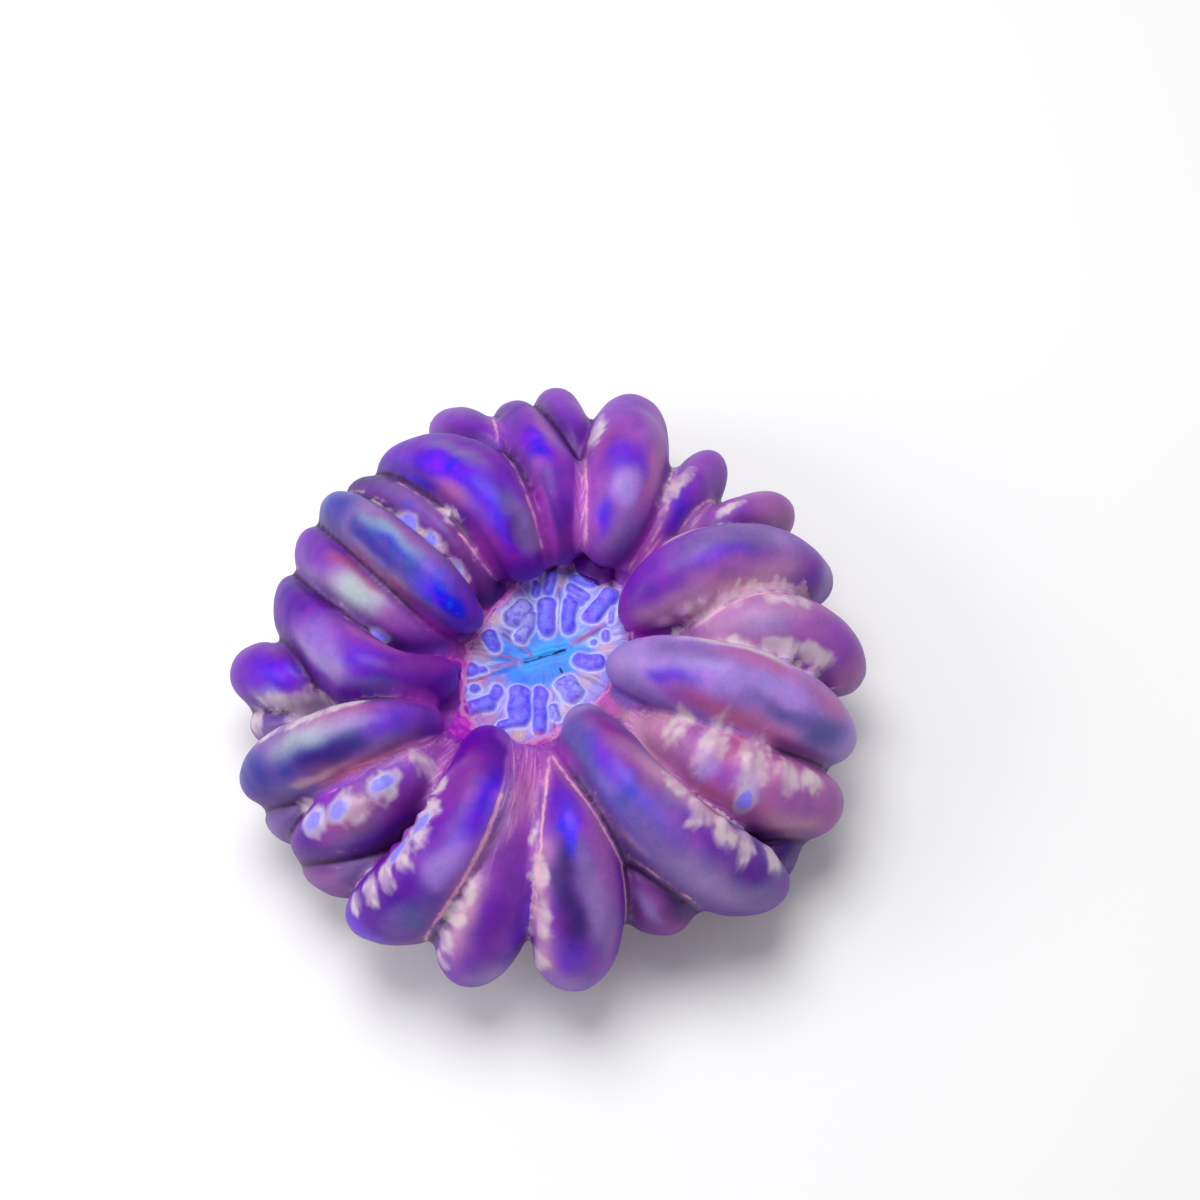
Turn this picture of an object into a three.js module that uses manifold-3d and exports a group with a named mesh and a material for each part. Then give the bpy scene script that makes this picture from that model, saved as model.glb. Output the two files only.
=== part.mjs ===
// A cynarina coral: one solitary, large fleshy polyp, seen with its tissue swollen.
// A low round body is cut flat underneath, where it grew on the rock. Swollen lobes arch outwards over it
// from a sunken oral disc: long ones on top and shorter ones tucked between them. Rows of septal teeth push
// up through the tissue in the grooves between lobes, and small knobs ring the mouth.
// Millimetres, +Z up. The origin is at the middle of the footprint, on the cut face.
import * as THREE from "three";
import { mergeVertices } from "three/addons/utils/BufferGeometryUtils.js";
import Module from "manifold-3d";

const wasm = await Module();
wasm.setup();

// Driving dimensions
const ACROSS = 100; // the swollen polyp from side to side
const DRAWN_ACROSS = 100; // the width for which every size below is drawn
const CUT_RADIUS = 27; // the flat face that it rests on
const DISC_HEIGHT = 21; // the floor of the oral disc above the cut
const DISC_LONG = 1.22; // the oral disc is longer than it is wide, by these two shares
const DISC_SHORT = 0.8;
const DISC_TURN = 58; // degrees from +X to its long way
const DISC_EDGE = 14; // the disc's mean radius
const DISC_FADE = 12; // beyond the edge, the body is round again after this much
const LOBE_ROUNDNESS = 2.4; // 2 gives pointed ends, as on an ellipsoid, and more gives blunter ones
const LOBE_ROOT = 1.5; // a lobe sinks into the body by this much more than it stands up
const MOUTH = { at: [-0.4, -0.2], long: 6.6, wide: 1.1, deep: 3, turn: 16 };
const RIB_DEPTH = 0.5; // costae, the ribs down the stony foot, one to every second facet
const RIB_TOP = 6; // height at which the ribs run out
const TO_MIDDLE = [0, 0.55]; // moves the middle of the whole outline onto the origin

// Facets
const AROUND = 12;
const ALONG = 9;
const SMALL_AROUND = 6;
const SMALL_ALONG = 4;
const BODY_SECTORS = 40;

// The body's half section, from the middle of the disc, over the shoulder, and in to the cut: radius, height
const BODY_SECTION = [
  [0, DISC_HEIGHT],
  [DISC_EDGE, DISC_HEIGHT + 1],
  [19, DISC_HEIGHT + 3],
  [26, DISC_HEIGHT + 3.5],
  [33, 22.5],
  [39.5, 17.5],
  [42.5, 13],
  [42, 9],
  [38, 5.5],
  [31, 3],
  [CUT_RADIUS, 0],
  [0, 0],
];

// The lobes, clockwise from the far side. Each row is the inner end, crest and outer end of the lobe's middle
// line, its half width, its half height, and the share by which it flares towards its outer end.
const LOBES = {
  far_small: [[4, 27, 20], [3, 36.5, 23.5], [0, 50, 11], 4.4, 5.5, 0.1],
  far_right: [[8.5, 15, 23.5], [12, 28, 27.5], [13, 46, 13], 6.8, 8.5, 0],
  far_right_root: [[8, 13, 18.5], [7, 20, 19], [6, 30, 14], 3.4, 5, 0],
  slim_right: [[12, 13, 19], [20, 24, 23], [26.5, 36, 13], 4.2, 6.5, 0.15],
  back_right: [[22.5, 17, 20], [29.5, 22, 22.5], [37.5, 27.5, 11], 4.2, 6, 0.1],
  upper_right: [[12.5, 4, 23], [26.5, 12, 27], [43.5, 14.5, 13], 6.6, 8.5, 0],
  tucked_right: [[22, 1.5, 20], [36.5, 2.5, 23.5], [47, -0.5, 11], 6, 7.5, 0.1],
  right: [[9, -3.5, 23.5], [29, -9, 27.5], [45.5, -13, 13], 6.6, 8.5, 0.1],
  low_right: [[14.5, -11, 19], [28.5, -21.5, 22.5], [44, -21.5, 10.5], 6.4, 7, 0.15],
  low_right_end: [[31, -31, 12], [35.5, -30.5, 14], [37, -28, 8], 2.6, 4, 0],
  near_right: [[5, -11.5, 23.5], [16, -30, 27], [35.5, -36, 12], 6.8, 8.5, 0],
  near_right_end: [[9, -28, 18], [14.5, -37, 20], [19, -39.5, 9], 4.4, 5.5, 0.1],
  near: [[0.5, -18, 22], [4.5, -36, 26], [4, -48.5, 10], 6.8, 8, 0.25],
  near_tucked: [[-3, -17, 21], [-6, -35, 24.5], [-12.5, -48.5, 10], 6.4, 7.5, 0.3],
  near_left: [[-9, -15, 23], [-13, -34, 26.5], [-28.5, -41, 11], 7, 8.5, 0],
  low_left_end: [[-22, -30, 14], [-30, -33, 16.5], [-35.5, -31.5, 8], 3.6, 5, 0],
  low_left: [[-16, -17.5, 20], [-26, -26.5, 24], [-36.5, -29, 11], 5.4, 7, 0.1],
  left_end: [[-31, -24, 15], [-36, -25.5, 17], [-41.5, -24, 8], 3.4, 5, 0],
  left: [[-16, -12.5, 23], [-31, -18, 26.5], [-45, -19, 12], 6, 8, 0],
  left_knuckle: [[-34, -8, 14], [-41, -10, 16], [-46, -7, 8], 2.8, 4, 0],
  left_bulb: [[-31, -4, 17], [-39, -4, 20.5], [-48.5, 1, 11], 5.2, 5.5, 0.15],
  bowed_left: [[-14, -4.5, 22.5], [-28.5, -5.5, 26], [-42, 15.5, 13], 5.8, 8, 0],
  tucked_left: [[-16, 2.5, 21], [-29, 9, 25.5], [-38.5, 24, 12], 5.4, 7, 0],
  upper_left: [[-11, 3, 25], [-22.5, 12.5, 28.5], [-35.5, 27.5, 15], 5.6, 8, 0],
  back_left: [[-11, 10, 21], [-18, 20.5, 24.5], [-32, 31.5, 13], 5.2, 7, 0],
  far_left: [[-3, 12, 24], [-10.5, 25.5, 27], [-26.5, 35, 13.5], 7.2, 8.5, 0],
  far_left_end: [[-5, 27, 20], [-10.5, 35.5, 22.5], [-18, 44.5, 12], 4.8, 6, 0.1],
  far_middle: [[2, 15, 23.5], [-0.5, 28, 27], [-7, 46, 13], 5.8, 7.5, 0],
};

// Rows of septal teeth along a lobe's flank. The side is 1 for the flank on the right when looking outwards
// along the lobe, and -1 for the other. From and to are shares of its length. Rise is the angle up the flank.
const TOOTH_ROWS = [
  { lobe: "low_right", side: -1, from: 0.3, to: 0.9, count: 5, size: 2.3, rise: 35 },
  { lobe: "near_right", side: -1, from: 0.4, to: 0.82, count: 4, size: 2, rise: 15 },
  { lobe: "upper_right", side: 1, from: 0.3, to: 0.85, count: 5, size: 1.8, rise: 5 },
  { lobe: "tucked_right", side: 1, from: 0.45, to: 0.85, count: 3, size: 1.9, rise: 25 },
  { lobe: "left", side: -1, from: 0.25, to: 0.8, count: 4, size: 1.8, rise: 0 },
  { lobe: "near_left", side: 1, from: 0.3, to: 0.85, count: 5, size: 1.7, rise: 10 },
  { lobe: "near_tucked", side: 1, from: 0.55, to: 0.8, count: 2, size: 1.9, rise: 25 },
  { lobe: "near", side: 1, from: 0.45, to: 0.9, count: 4, size: 1.6, rise: 20 },
];

const TOOTH = { across: 1.2, along: 0.8 }; // against its size, which is its half height

// The knobs round the mouth: middle x and y, half length, half width, and degrees from +X to the long way
const KNOBS = [
  [0.2, 13.1, 1.3, 1.1, 60],
  [-2, 11.5, 1.5, 1.1, 90],
  [5.6, 12.7, 2.1, 0.9, -20],
  [4.7, 10.4, 2.3, 1, -38],
  [8, 7.7, 3.4, 1.5, 45],
  [-0.9, 7.2, 3, 1.4, 90],
  [3.1, 7.2, 2.9, 1.4, 90],
  [-4.6, 5.4, 2.3, 1.7, -60],
  [-8.8, 1.6, 1.7, 1.3, -40],
  [-12, -2.8, 1.5, 1.3, 0],
  [-10, -2.6, 0.9, 0.8, 0],
  [-13, -6.1, 0.8, 0.7, 0],
  [-11.2, -5.8, 1, 0.8, 20],
  [-10.6, -8.4, 2.8, 1.5, 25],
  [-7.6, -5.4, 1.9, 1.1, 60],
  [-4.5, -9, 3.4, 1.8, 90],
  [-7.3, -12, 1.8, 1.3, 30],
  [-1.1, -10, 4.4, 1.3, 90],
  [1.4, -10.6, 1.3, 0.9, 90],
  [3.6, -5.4, 2.5, 2.2, 0],
  [6.8, -1.4, 2.2, 1.6, -10],
  [7.4, 2.4, 0.9, 0.7, 60],
  [9.1, 3.8, 1.2, 0.8, 50],
  [10.2, 5.6, 1, 0.6, 70],
];
const KNOB_HIGH = 1.7; // half height, from a little above the disc's floor
const KNOB_LIFT = 0.4;

const UP = new THREE.Vector3(0, 0, 1);
const radians = (degrees) => (degrees * Math.PI) / 180;

// A closed geometry as a manifold solid
function solidOf(geometry) {
  const bare = geometry.clone().deleteAttribute("normal").deleteAttribute("uv");
  const merged = mergeVertices(bare, 1e-4);
  return new wasm.Manifold(
    new wasm.Mesh({
      numProp: 3,
      vertProperties: merged.attributes.position.array,
      triVerts: new Uint32Array(merged.index.array),
    }),
  );
}

// Moves every vertex of a geometry to where the function sends it
function reshape(geometry, move) {
  const at = geometry.attributes.position;
  const point = new THREE.Vector3();
  for (let i = 0; i < at.count; i += 1) {
    point.fromBufferAttribute(at, i);
    move(point);
    at.setXYZ(i, point.x, point.y, point.z);
  }
  return geometry;
}

// A lobe's middle line, from its inner end to its outer end, as a quadratic curve through the crest
function middleLine([inner, crest, outer]) {
  const start = new THREE.Vector3(...inner);
  const end = new THREE.Vector3(...outer);
  const pull = new THREE.Vector3(...crest).multiplyScalar(2).sub(start.clone().add(end).multiplyScalar(0.5));
  return new THREE.QuadraticBezierCurve3(start, pull, end);
}

// The place, and the sideways and upward directions, at a share of a lobe's length
function frameAt(line, share) {
  const forward = line.getTangent(share);
  const side = forward.clone().cross(UP).normalize();
  return { at: line.getPoint(share), side, up: side.clone().cross(forward) };
}

// How wide a lobe is at a share of its length, against its widest
function fullness(share, flare) {
  const along = 2 * share - 1;
  const round = Math.max(0, 1 - Math.abs(along) ** LOBE_ROUNDNESS) ** (1 / LOBE_ROUNDNESS);
  return round * (1 + flare * along);
}

// A point on a lobe's skin, at a share of its length and an angle up from its side
function skinPoint(lobe, line, share, angle) {
  const [, , , wide, high, flare] = lobe;
  const { at, side, up } = frameAt(line, share);
  const full = fullness(share, flare);
  const rise = Math.sin(angle) < 0 ? high * LOBE_ROOT : high;
  return at
    .addScaledVector(side, wide * full * Math.cos(angle))
    .addScaledVector(up, rise * full * Math.sin(angle));
}

// A ball whose poles become the lobe's two ends
function lobeSolid(lobe) {
  const line = middleLine(lobe);
  const ball = new THREE.SphereGeometry(1, AROUND, ALONG);
  reshape(ball, (p) => {
    const share = THREE.MathUtils.clamp((1 - p.y) / 2, 0, 1);
    p.copy(skinPoint(lobe, line, share, Math.atan2(p.z, -p.x)));
  });
  return solidOf(ball);
}

// An egg-shaped lump with its long way turned about +Z
function lump([x, y, z], [long, wide, high], turn) {
  const egg = new THREE.SphereGeometry(1, SMALL_AROUND, SMALL_ALONG);
  egg.rotateZ(Math.PI / 2).scale(long, wide, high).rotateZ(turn).translate(x, y, z);
  return solidOf(egg);
}

function toothRow({ lobe: name, side, from, to, count, size, rise }) {
  const lobe = LOBES[name];
  const line = middleLine(lobe);
  const angle = side > 0 ? radians(rise) : Math.PI - radians(rise);
  return Array.from({ length: count }, (_, i) => {
    const share = from + ((to - from) * i) / (count - 1);
    const across = frameAt(line, share).side;
    const place = skinPoint(lobe, line, share, angle);
    const halves = [size * TOOTH.across, size * TOOTH.along, size];
    return lump(place.toArray(), halves, Math.atan2(across.y, across.x));
  });
}

// The body is turned round, then drawn out to the oral disc's oval in the middle and ribbed on the foot
function bodySolid() {
  const section = BODY_SECTION.map(([r, z]) => new THREE.Vector2(r, z)).reverse();
  const body = new THREE.LatheGeometry(section, BODY_SECTORS).rotateX(Math.PI / 2);
  reshape(body, (p) => {
    const radius = Math.hypot(p.x, p.y);
    const turn = Math.atan2(p.y, p.x);
    const rib = p.z < RIB_TOP ? 1 + (RIB_DEPTH / CUT_RADIUS) * Math.cos((BODY_SECTORS / 2) * turn) : 1;
    const oval = p.z > RIB_TOP ? THREE.MathUtils.clamp(1 - (radius - DISC_EDGE) / DISC_FADE, 0, 1) : 0;
    p.applyAxisAngle(UP, -radians(DISC_TURN));
    p.x *= rib * THREE.MathUtils.lerp(1, DISC_LONG, oval);
    p.y *= rib * THREE.MathUtils.lerp(1, DISC_SHORT, oval);
    p.applyAxisAngle(UP, radians(DISC_TURN));
  });
  return solidOf(body);
}

function mouthSolid() {
  const { at, long, wide, deep, turn } = MOUTH;
  return lump([...at, DISC_HEIGHT], [long / 2, wide / 2, deep], radians(turn));
}

// Everything grows as one piece of tissue, so it is joined into one solid
function polypGeometry() {
  const knobs = KNOBS.map(([x, y, long, wide, turn]) =>
    lump([x, y, DISC_HEIGHT + KNOB_LIFT], [long, wide, KNOB_HIGH], radians(turn)),
  );
  const grown = [...Object.values(LOBES).map(lobeSolid), ...TOOTH_ROWS.flatMap(toothRow), ...knobs];
  const joined = wasm.Manifold.union([bodySolid(), ...grown]).subtract(mouthSolid());
  // The outer skin alone is kept, which fills the small pockets that lobes close off between them
  const [outerSkin] = joined.decompose().sort((a, b) => b.volume() - a.volume());
  const { vertProperties, triVerts } = outerSkin.getMesh();
  const geometry = new THREE.BufferGeometry();
  geometry.setAttribute("position", new THREE.BufferAttribute(vertProperties, 3));
  geometry.setIndex(new THREE.BufferAttribute(triVerts, 1));
  const scale = ACROSS / DRAWN_ACROSS;
  geometry.translate(...TO_MIDDLE, 0).scale(scale, scale, scale).computeVertexNormals();
  return geometry;
}

const tissue = new THREE.MeshStandardMaterial({ color: 0x6e3cb4, roughness: 0.4, metalness: 0 });
const polyp = new THREE.Mesh(polypGeometry(), tissue);
polyp.name = "cynarina_polyp";

const coral = new THREE.Group();
coral.add(polyp);

export default coral;
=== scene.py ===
import math

import bmesh
import bpy
import numpy as np
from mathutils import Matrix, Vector


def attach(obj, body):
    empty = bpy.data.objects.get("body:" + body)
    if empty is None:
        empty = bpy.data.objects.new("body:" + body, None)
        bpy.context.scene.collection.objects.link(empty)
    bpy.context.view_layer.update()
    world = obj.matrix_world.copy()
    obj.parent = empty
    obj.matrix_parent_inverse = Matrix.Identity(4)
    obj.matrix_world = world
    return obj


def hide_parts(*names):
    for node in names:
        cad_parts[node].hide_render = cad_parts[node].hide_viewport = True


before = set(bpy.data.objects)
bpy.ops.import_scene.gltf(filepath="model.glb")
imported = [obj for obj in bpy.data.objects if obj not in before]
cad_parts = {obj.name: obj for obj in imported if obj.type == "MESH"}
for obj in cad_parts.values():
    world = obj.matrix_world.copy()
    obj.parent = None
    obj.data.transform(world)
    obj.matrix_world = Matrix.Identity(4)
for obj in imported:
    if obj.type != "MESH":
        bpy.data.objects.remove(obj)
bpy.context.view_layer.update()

# A cynarina coral: one large fleshy polyp with swollen lobes round a sunken oral disc, on a stony foot
# that is cut off flat. Sizes are in millimetres, and MM takes them to Blender's metres.

MM = 0.001
MIDDLE_SHIFT = (0, 0.55, 0)

CAMERA_EYE = (8.16, -163.86, 377.83)
CAMERA_ELEVATION = 64
CAMERA_LENS = 75
CAMERA_SENSOR = 36

CUT_RADIUS = 27
DISC_HEIGHT = 21
DISC_LOWEST = 18
TOP_STARTS = 15
DISC_LONG = 1.22
DISC_SHORT = 0.8
DISC_TURN = 58
DISC_EDGE = 14
DISC_FADE = 12
LOBE_ROUNDNESS = 2.4
LOBE_ROOT = 1.5
RIB_TOP = 6
RIB_DEPTH = 0.45
SEPTA = 40

EGG_AROUND = 40
EGG_ALONG = 36
BODY_SECTORS = 120
SKIN_GRAIN = 0.67
DISC_CUTS = 2
KIND_COUNT = 3
PAINT_LIFT = (1.05, 1.07, 0.97)
GROOVE_DEEP = 1.3
EDGE_OFF = 1.4

BODY_SECTION = [
    (CUT_RADIUS, 0),
    (31, 3),
    (38, 5.5),
    (42, 9),
    (42.5, 13),
    (39.5, 17.5),
    (33, 22.5),
    (26, DISC_HEIGHT + 3.5),
    (19, DISC_HEIGHT + 3),
    (DISC_EDGE, DISC_HEIGHT + 1),
    (4, DISC_HEIGHT),
]

LOBES = {
    "far_small": ((4, 27, 20), (3, 36.5, 23.5), (0, 50, 11), 4.4, 5.5, 0.1),
    "far_right": ((8.5, 15, 23.5), (12, 28, 27.5), (13, 46, 13), 6.8, 8.5, 0),
    "far_right_root": ((8, 13, 18.5), (7, 20, 19), (6, 30, 14), 3.4, 5, 0),
    "slim_right": ((12, 13, 19), (20, 24, 23), (26.5, 36, 13), 4.2, 6.5, 0.15),
    "back_right": ((22.5, 17, 20), (29.5, 22, 22.5), (37.5, 27.5, 11), 4.2, 6, 0.1),
    "upper_right": ((12.5, 4, 23), (26.5, 12, 27), (43.5, 14.5, 13), 6.6, 8.5, 0),
    "tucked_right": ((22, 1.5, 20), (36.5, 2.5, 23.5), (47, -0.5, 11), 6, 7.5, 0.1),
    "right": ((9.8, -3.6, 23.5), (29, -9, 27.5), (45.5, -13, 13), 6.6, 8.5, 0.1),
    "low_right": ((14.5, -11, 19), (28.5, -21.5, 22.5), (44, -21.5, 10.5), 6.4, 7, 0.15),
    "low_right_end": ((31, -31, 12), (35.5, -30.5, 14), (37, -28, 8), 2.6, 4, 0),
    "near_right": ((5, -11.5, 23.5), (16, -30, 27), (35.5, -36, 12), 6.8, 8.5, 0),
    "near_right_end": ((9, -28, 18), (14.5, -37, 20), (19, -39.5, 9), 4.4, 5.5, 0.1),
    "near": ((0.5, -18, 22), (4.5, -36, 26), (4, -48.5, 10), 6.8, 8, 0.25),
    "near_tucked": ((-3, -16.6, 22), (-6, -34.5, 25.3), (-12.5, -48.5, 10), 6.4, 7.5, 0.3),
    "near_left": ((-9, -15, 23), (-13, -34, 26.5), (-28.5, -41, 11), 7, 8.5, 0),
    "low_left_end": ((-22, -30, 14), (-30, -33, 16.5), (-35.5, -31.5, 8), 3.6, 5, 0),
    "low_left": ((-16, -17.5, 20), (-26, -26.5, 24), (-36.5, -29, 11), 5.4, 7, 0.1),
    "left_end": ((-31, -24, 15), (-36, -25.5, 17), (-41.5, -24, 8), 3.4, 5, 0),
    "left": ((-17.2, -12.7, 23), (-31, -18, 26.5), (-45, -19, 12), 6, 8, 0),
    "left_knuckle": ((-34, -8, 14), (-41, -10, 16), (-46, -7, 8), 2.8, 4, 0),
    "left_bulb": ((-31, -4, 17), (-39, -4, 20.5), (-48.5, 1, 11), 5.2, 5.5, 0.15),
    "bowed_left": ((-15.2, -4.3, 22.5), (-28.5, -5.5, 26), (-42, 15.5, 13), 5.8, 8, 0),
    "tucked_left": ((-16, 2.3, 20.5), (-29, 8.8, 24.4), (-38.5, 23.8, 12), 5.6, 7, 0),
    "upper_left": ((-11, 2.8, 25), (-22.8, 12.2, 28.5), (-35.5, 27.3, 15), 5.1, 8, 0),
    "back_left": ((-10.5, 9.6, 20.5), (-18.2, 19.7, 24.4), (-32, 31.3, 13), 5.7, 7.2, 0),
    "far_left": ((-3.3, 11.7, 24), (-10.9, 25.1, 27), (-26.5, 34.8, 13.5), 7.6, 8.5, 0),
    "far_left_end": ((-5, 27, 20), (-10.5, 35.5, 22.5), (-18, 44.5, 12), 4.8, 6, 0.1),
    "far_middle": ((2, 15, 23.5), (-0.5, 28, 27), (-7, 46, 13), 5.8, 7.5, 0),
}

# Septal teeth in rows along a lobe: first and last share of its length, how many, the degrees up from
# the lobe's right side, looking outwards, and the size of each.
TOOTH_ROWS = [
    ("low_right", 0.24, 0.76, 5, 94, 2.2),
    ("near_right", 0.57, 0.87, 4, 117, 2.0),
    ("upper_right", 0.14, 0.66, 6, 20, 1.6),
    ("tucked_right", 0.5, 0.82, 3, 36, 1.9),
    ("low_left", 0.26, 0.7, 4, 90, 1.9),
    ("near_left", 0.38, 0.78, 5, 34, 1.7),
    ("near_tucked", 0.62, 0.8, 2, 80, 2.0),
    ("near", 0.44, 0.88, 4, 46, 1.6),
]
TOOTH_ACROSS = 1.2
TOOTH_ALONG = 0.8
TOOTH_SUNK = 0.6

# The knobs round the mouth: where each starts and ends, half its width, and whether it is a cloudy one
KNOBS = [
    ((-0.1, 11.1), (0.5, 13.4), 1, False),
    ((-2.1, 10.4), (-1.8, 11.8), 0.8, False),
    ((4.1, 13.1), (6.9, 11.9), 0.8, False),
    ((3.6, 11.6), (5.7, 9.8), 0.9, False),
    ((3.4, 10), (5.1, 8.9), 0.6, False),
    ((9.8, 10), (6.8, 6.6), 1.5, False),
    ((-0.3, 8.5), (-0.4, 4.8), 1.5, False),
    ((3.3, 8.5), (3.1, 5.1), 1.4, False),
    ((-4.1, 7.6), (-5.4, 6.2), 1.8, True),
    ((-2.6, 6.2), (-4.4, 3.1), 1.2, True),
    ((-9.3, 2.9), (-8.4, 1.2), 1.3, False),
    ((-12.1, -3.1), (-12, -3), 1.4, False),
    ((-10.3, -2.9), (-10.2, -2.9), 0.8, False),
    ((-13.1, -6.5), (-13, -6.5), 0.6, False),
    ((-11.4, -6.2), (-11.3, -6.2), 0.8, False),
    ((-12.2, -9.8), (-9.1, -8.5), 1.3, False),
    ((-9, -8.4), (-7.8, -6.2), 1, False),
    ((-4.4, -6.9), (-4.3, -11.2), 1.8, False),
    ((-4.1, -11.5), (-6.9, -12.4), 1, False),
    ((-1.2, -6.5), (-1.1, -12.8), 1.3, False),
    ((1, -9.3), (1.3, -11.1), 0.8, True),
    ((3, -5.4), (3.8, -6.8), 2, True),
    ((5.4, -1), (7.5, -1.6), 1.6, False),
    ((9.1, 3.4), (9.1, 2.5), 0.8, False),
    ((7.1, 2), (7.2, 2), 0.6, False),
    ((10.2, 7.6), (9.9, 5.5), 0.6, True),
]
KNOB_HIGH = 1.2

# Low folds that run in to the mouth: from, to, half width and height
FOLDS = [
    ((-13, 0.4), (-4, -0.9), 0.7, 0.6),
    ((-12.5, -4.8), (-5, -1.6), 0.6, 0.5),
    ((-8.6, -2.2), (-4.6, -1.3), 0.5, 0.4),
    ((-6.8, 3.6), (-2.4, 0), 0.5, 0.5),
    ((1.4, 11), (1.3, 3.8), 0.6, 0.5),
    ((9.6, 5.8), (3.4, 2.3), 0.9, 0.5),
    ((1, -13.4), (0.3, -5.2), 0.4, 0.4),
]
MOUTH_ENDS = ((-3.6, -0.9), (2.6, 1.2))
MOUTH_WIDE = 0.3
MOUTH_DEEP = 0.25
DARK_SPECK = ((1.9, -2.1), (2.2, -2.8))
RAYS_FROM = (-0.4, 0.15, 21)

# Tints as they look in the light of the photo, red, green and blue to 255
TINTS = {
    "ink": (52, 44, 150), "indigo": (50, 26, 105), "deep_violet": (80, 20, 150),
    "violet": (98, 38, 165), "purple": (118, 58, 178), "orchid": (138, 75, 180),
    "blue_violet": (92, 50, 205), "ultramarine": (78, 30, 225), "cobalt": (48, 55, 245),
    "azure": (62, 95, 225), "periwinkle": (95, 78, 215), "steel": (86, 92, 178), "slate": (88, 78, 160),
    # The lilac grey, lavender, pale teal and pale green tints are partly the flesh's own colour and partly
    # painted highlights.
    "mauve_slate": (115, 88, 165), "lilac_grey": (142, 118, 190), "lavender": (155, 122, 215),
    "pale_teal_and_highlight": (132, 152, 196), "pale_green_and_highlight": (156, 164, 188), "pale": (202, 184, 204),
    "blush": (184, 134, 180), "mauve": (142, 84, 170), "rose": (160, 92, 160), "plum": (118, 48, 145),
    "red_brown": (145, 70, 120), "brick": (176, 92, 132), "magenta": (160, 44, 192),
    "hot_pink": (212, 78, 195), "thread": (220, 158, 196), "halo": (178, 166, 218),
    # The dark violet and groove tints are painted shade, for the rims of lobes at grooves and the lines in
    # them.
    "membrane": (226, 208, 220), "shade_violet": (66, 22, 112), "dark_magenta": (92, 25, 120),
    "groove": (44, 8, 66), "sea": (84, 132, 245), "bright_sea": (66, 148, 248), "knob": (124, 116, 255),
    "knob_cloud": (150, 144, 232), "outline": (196, 194, 255), "web": (150, 128, 225),
    "sand": (190, 148, 168), "lilac_rose": (164, 116, 176), "leaf": (160, 172, 205),
}
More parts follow.
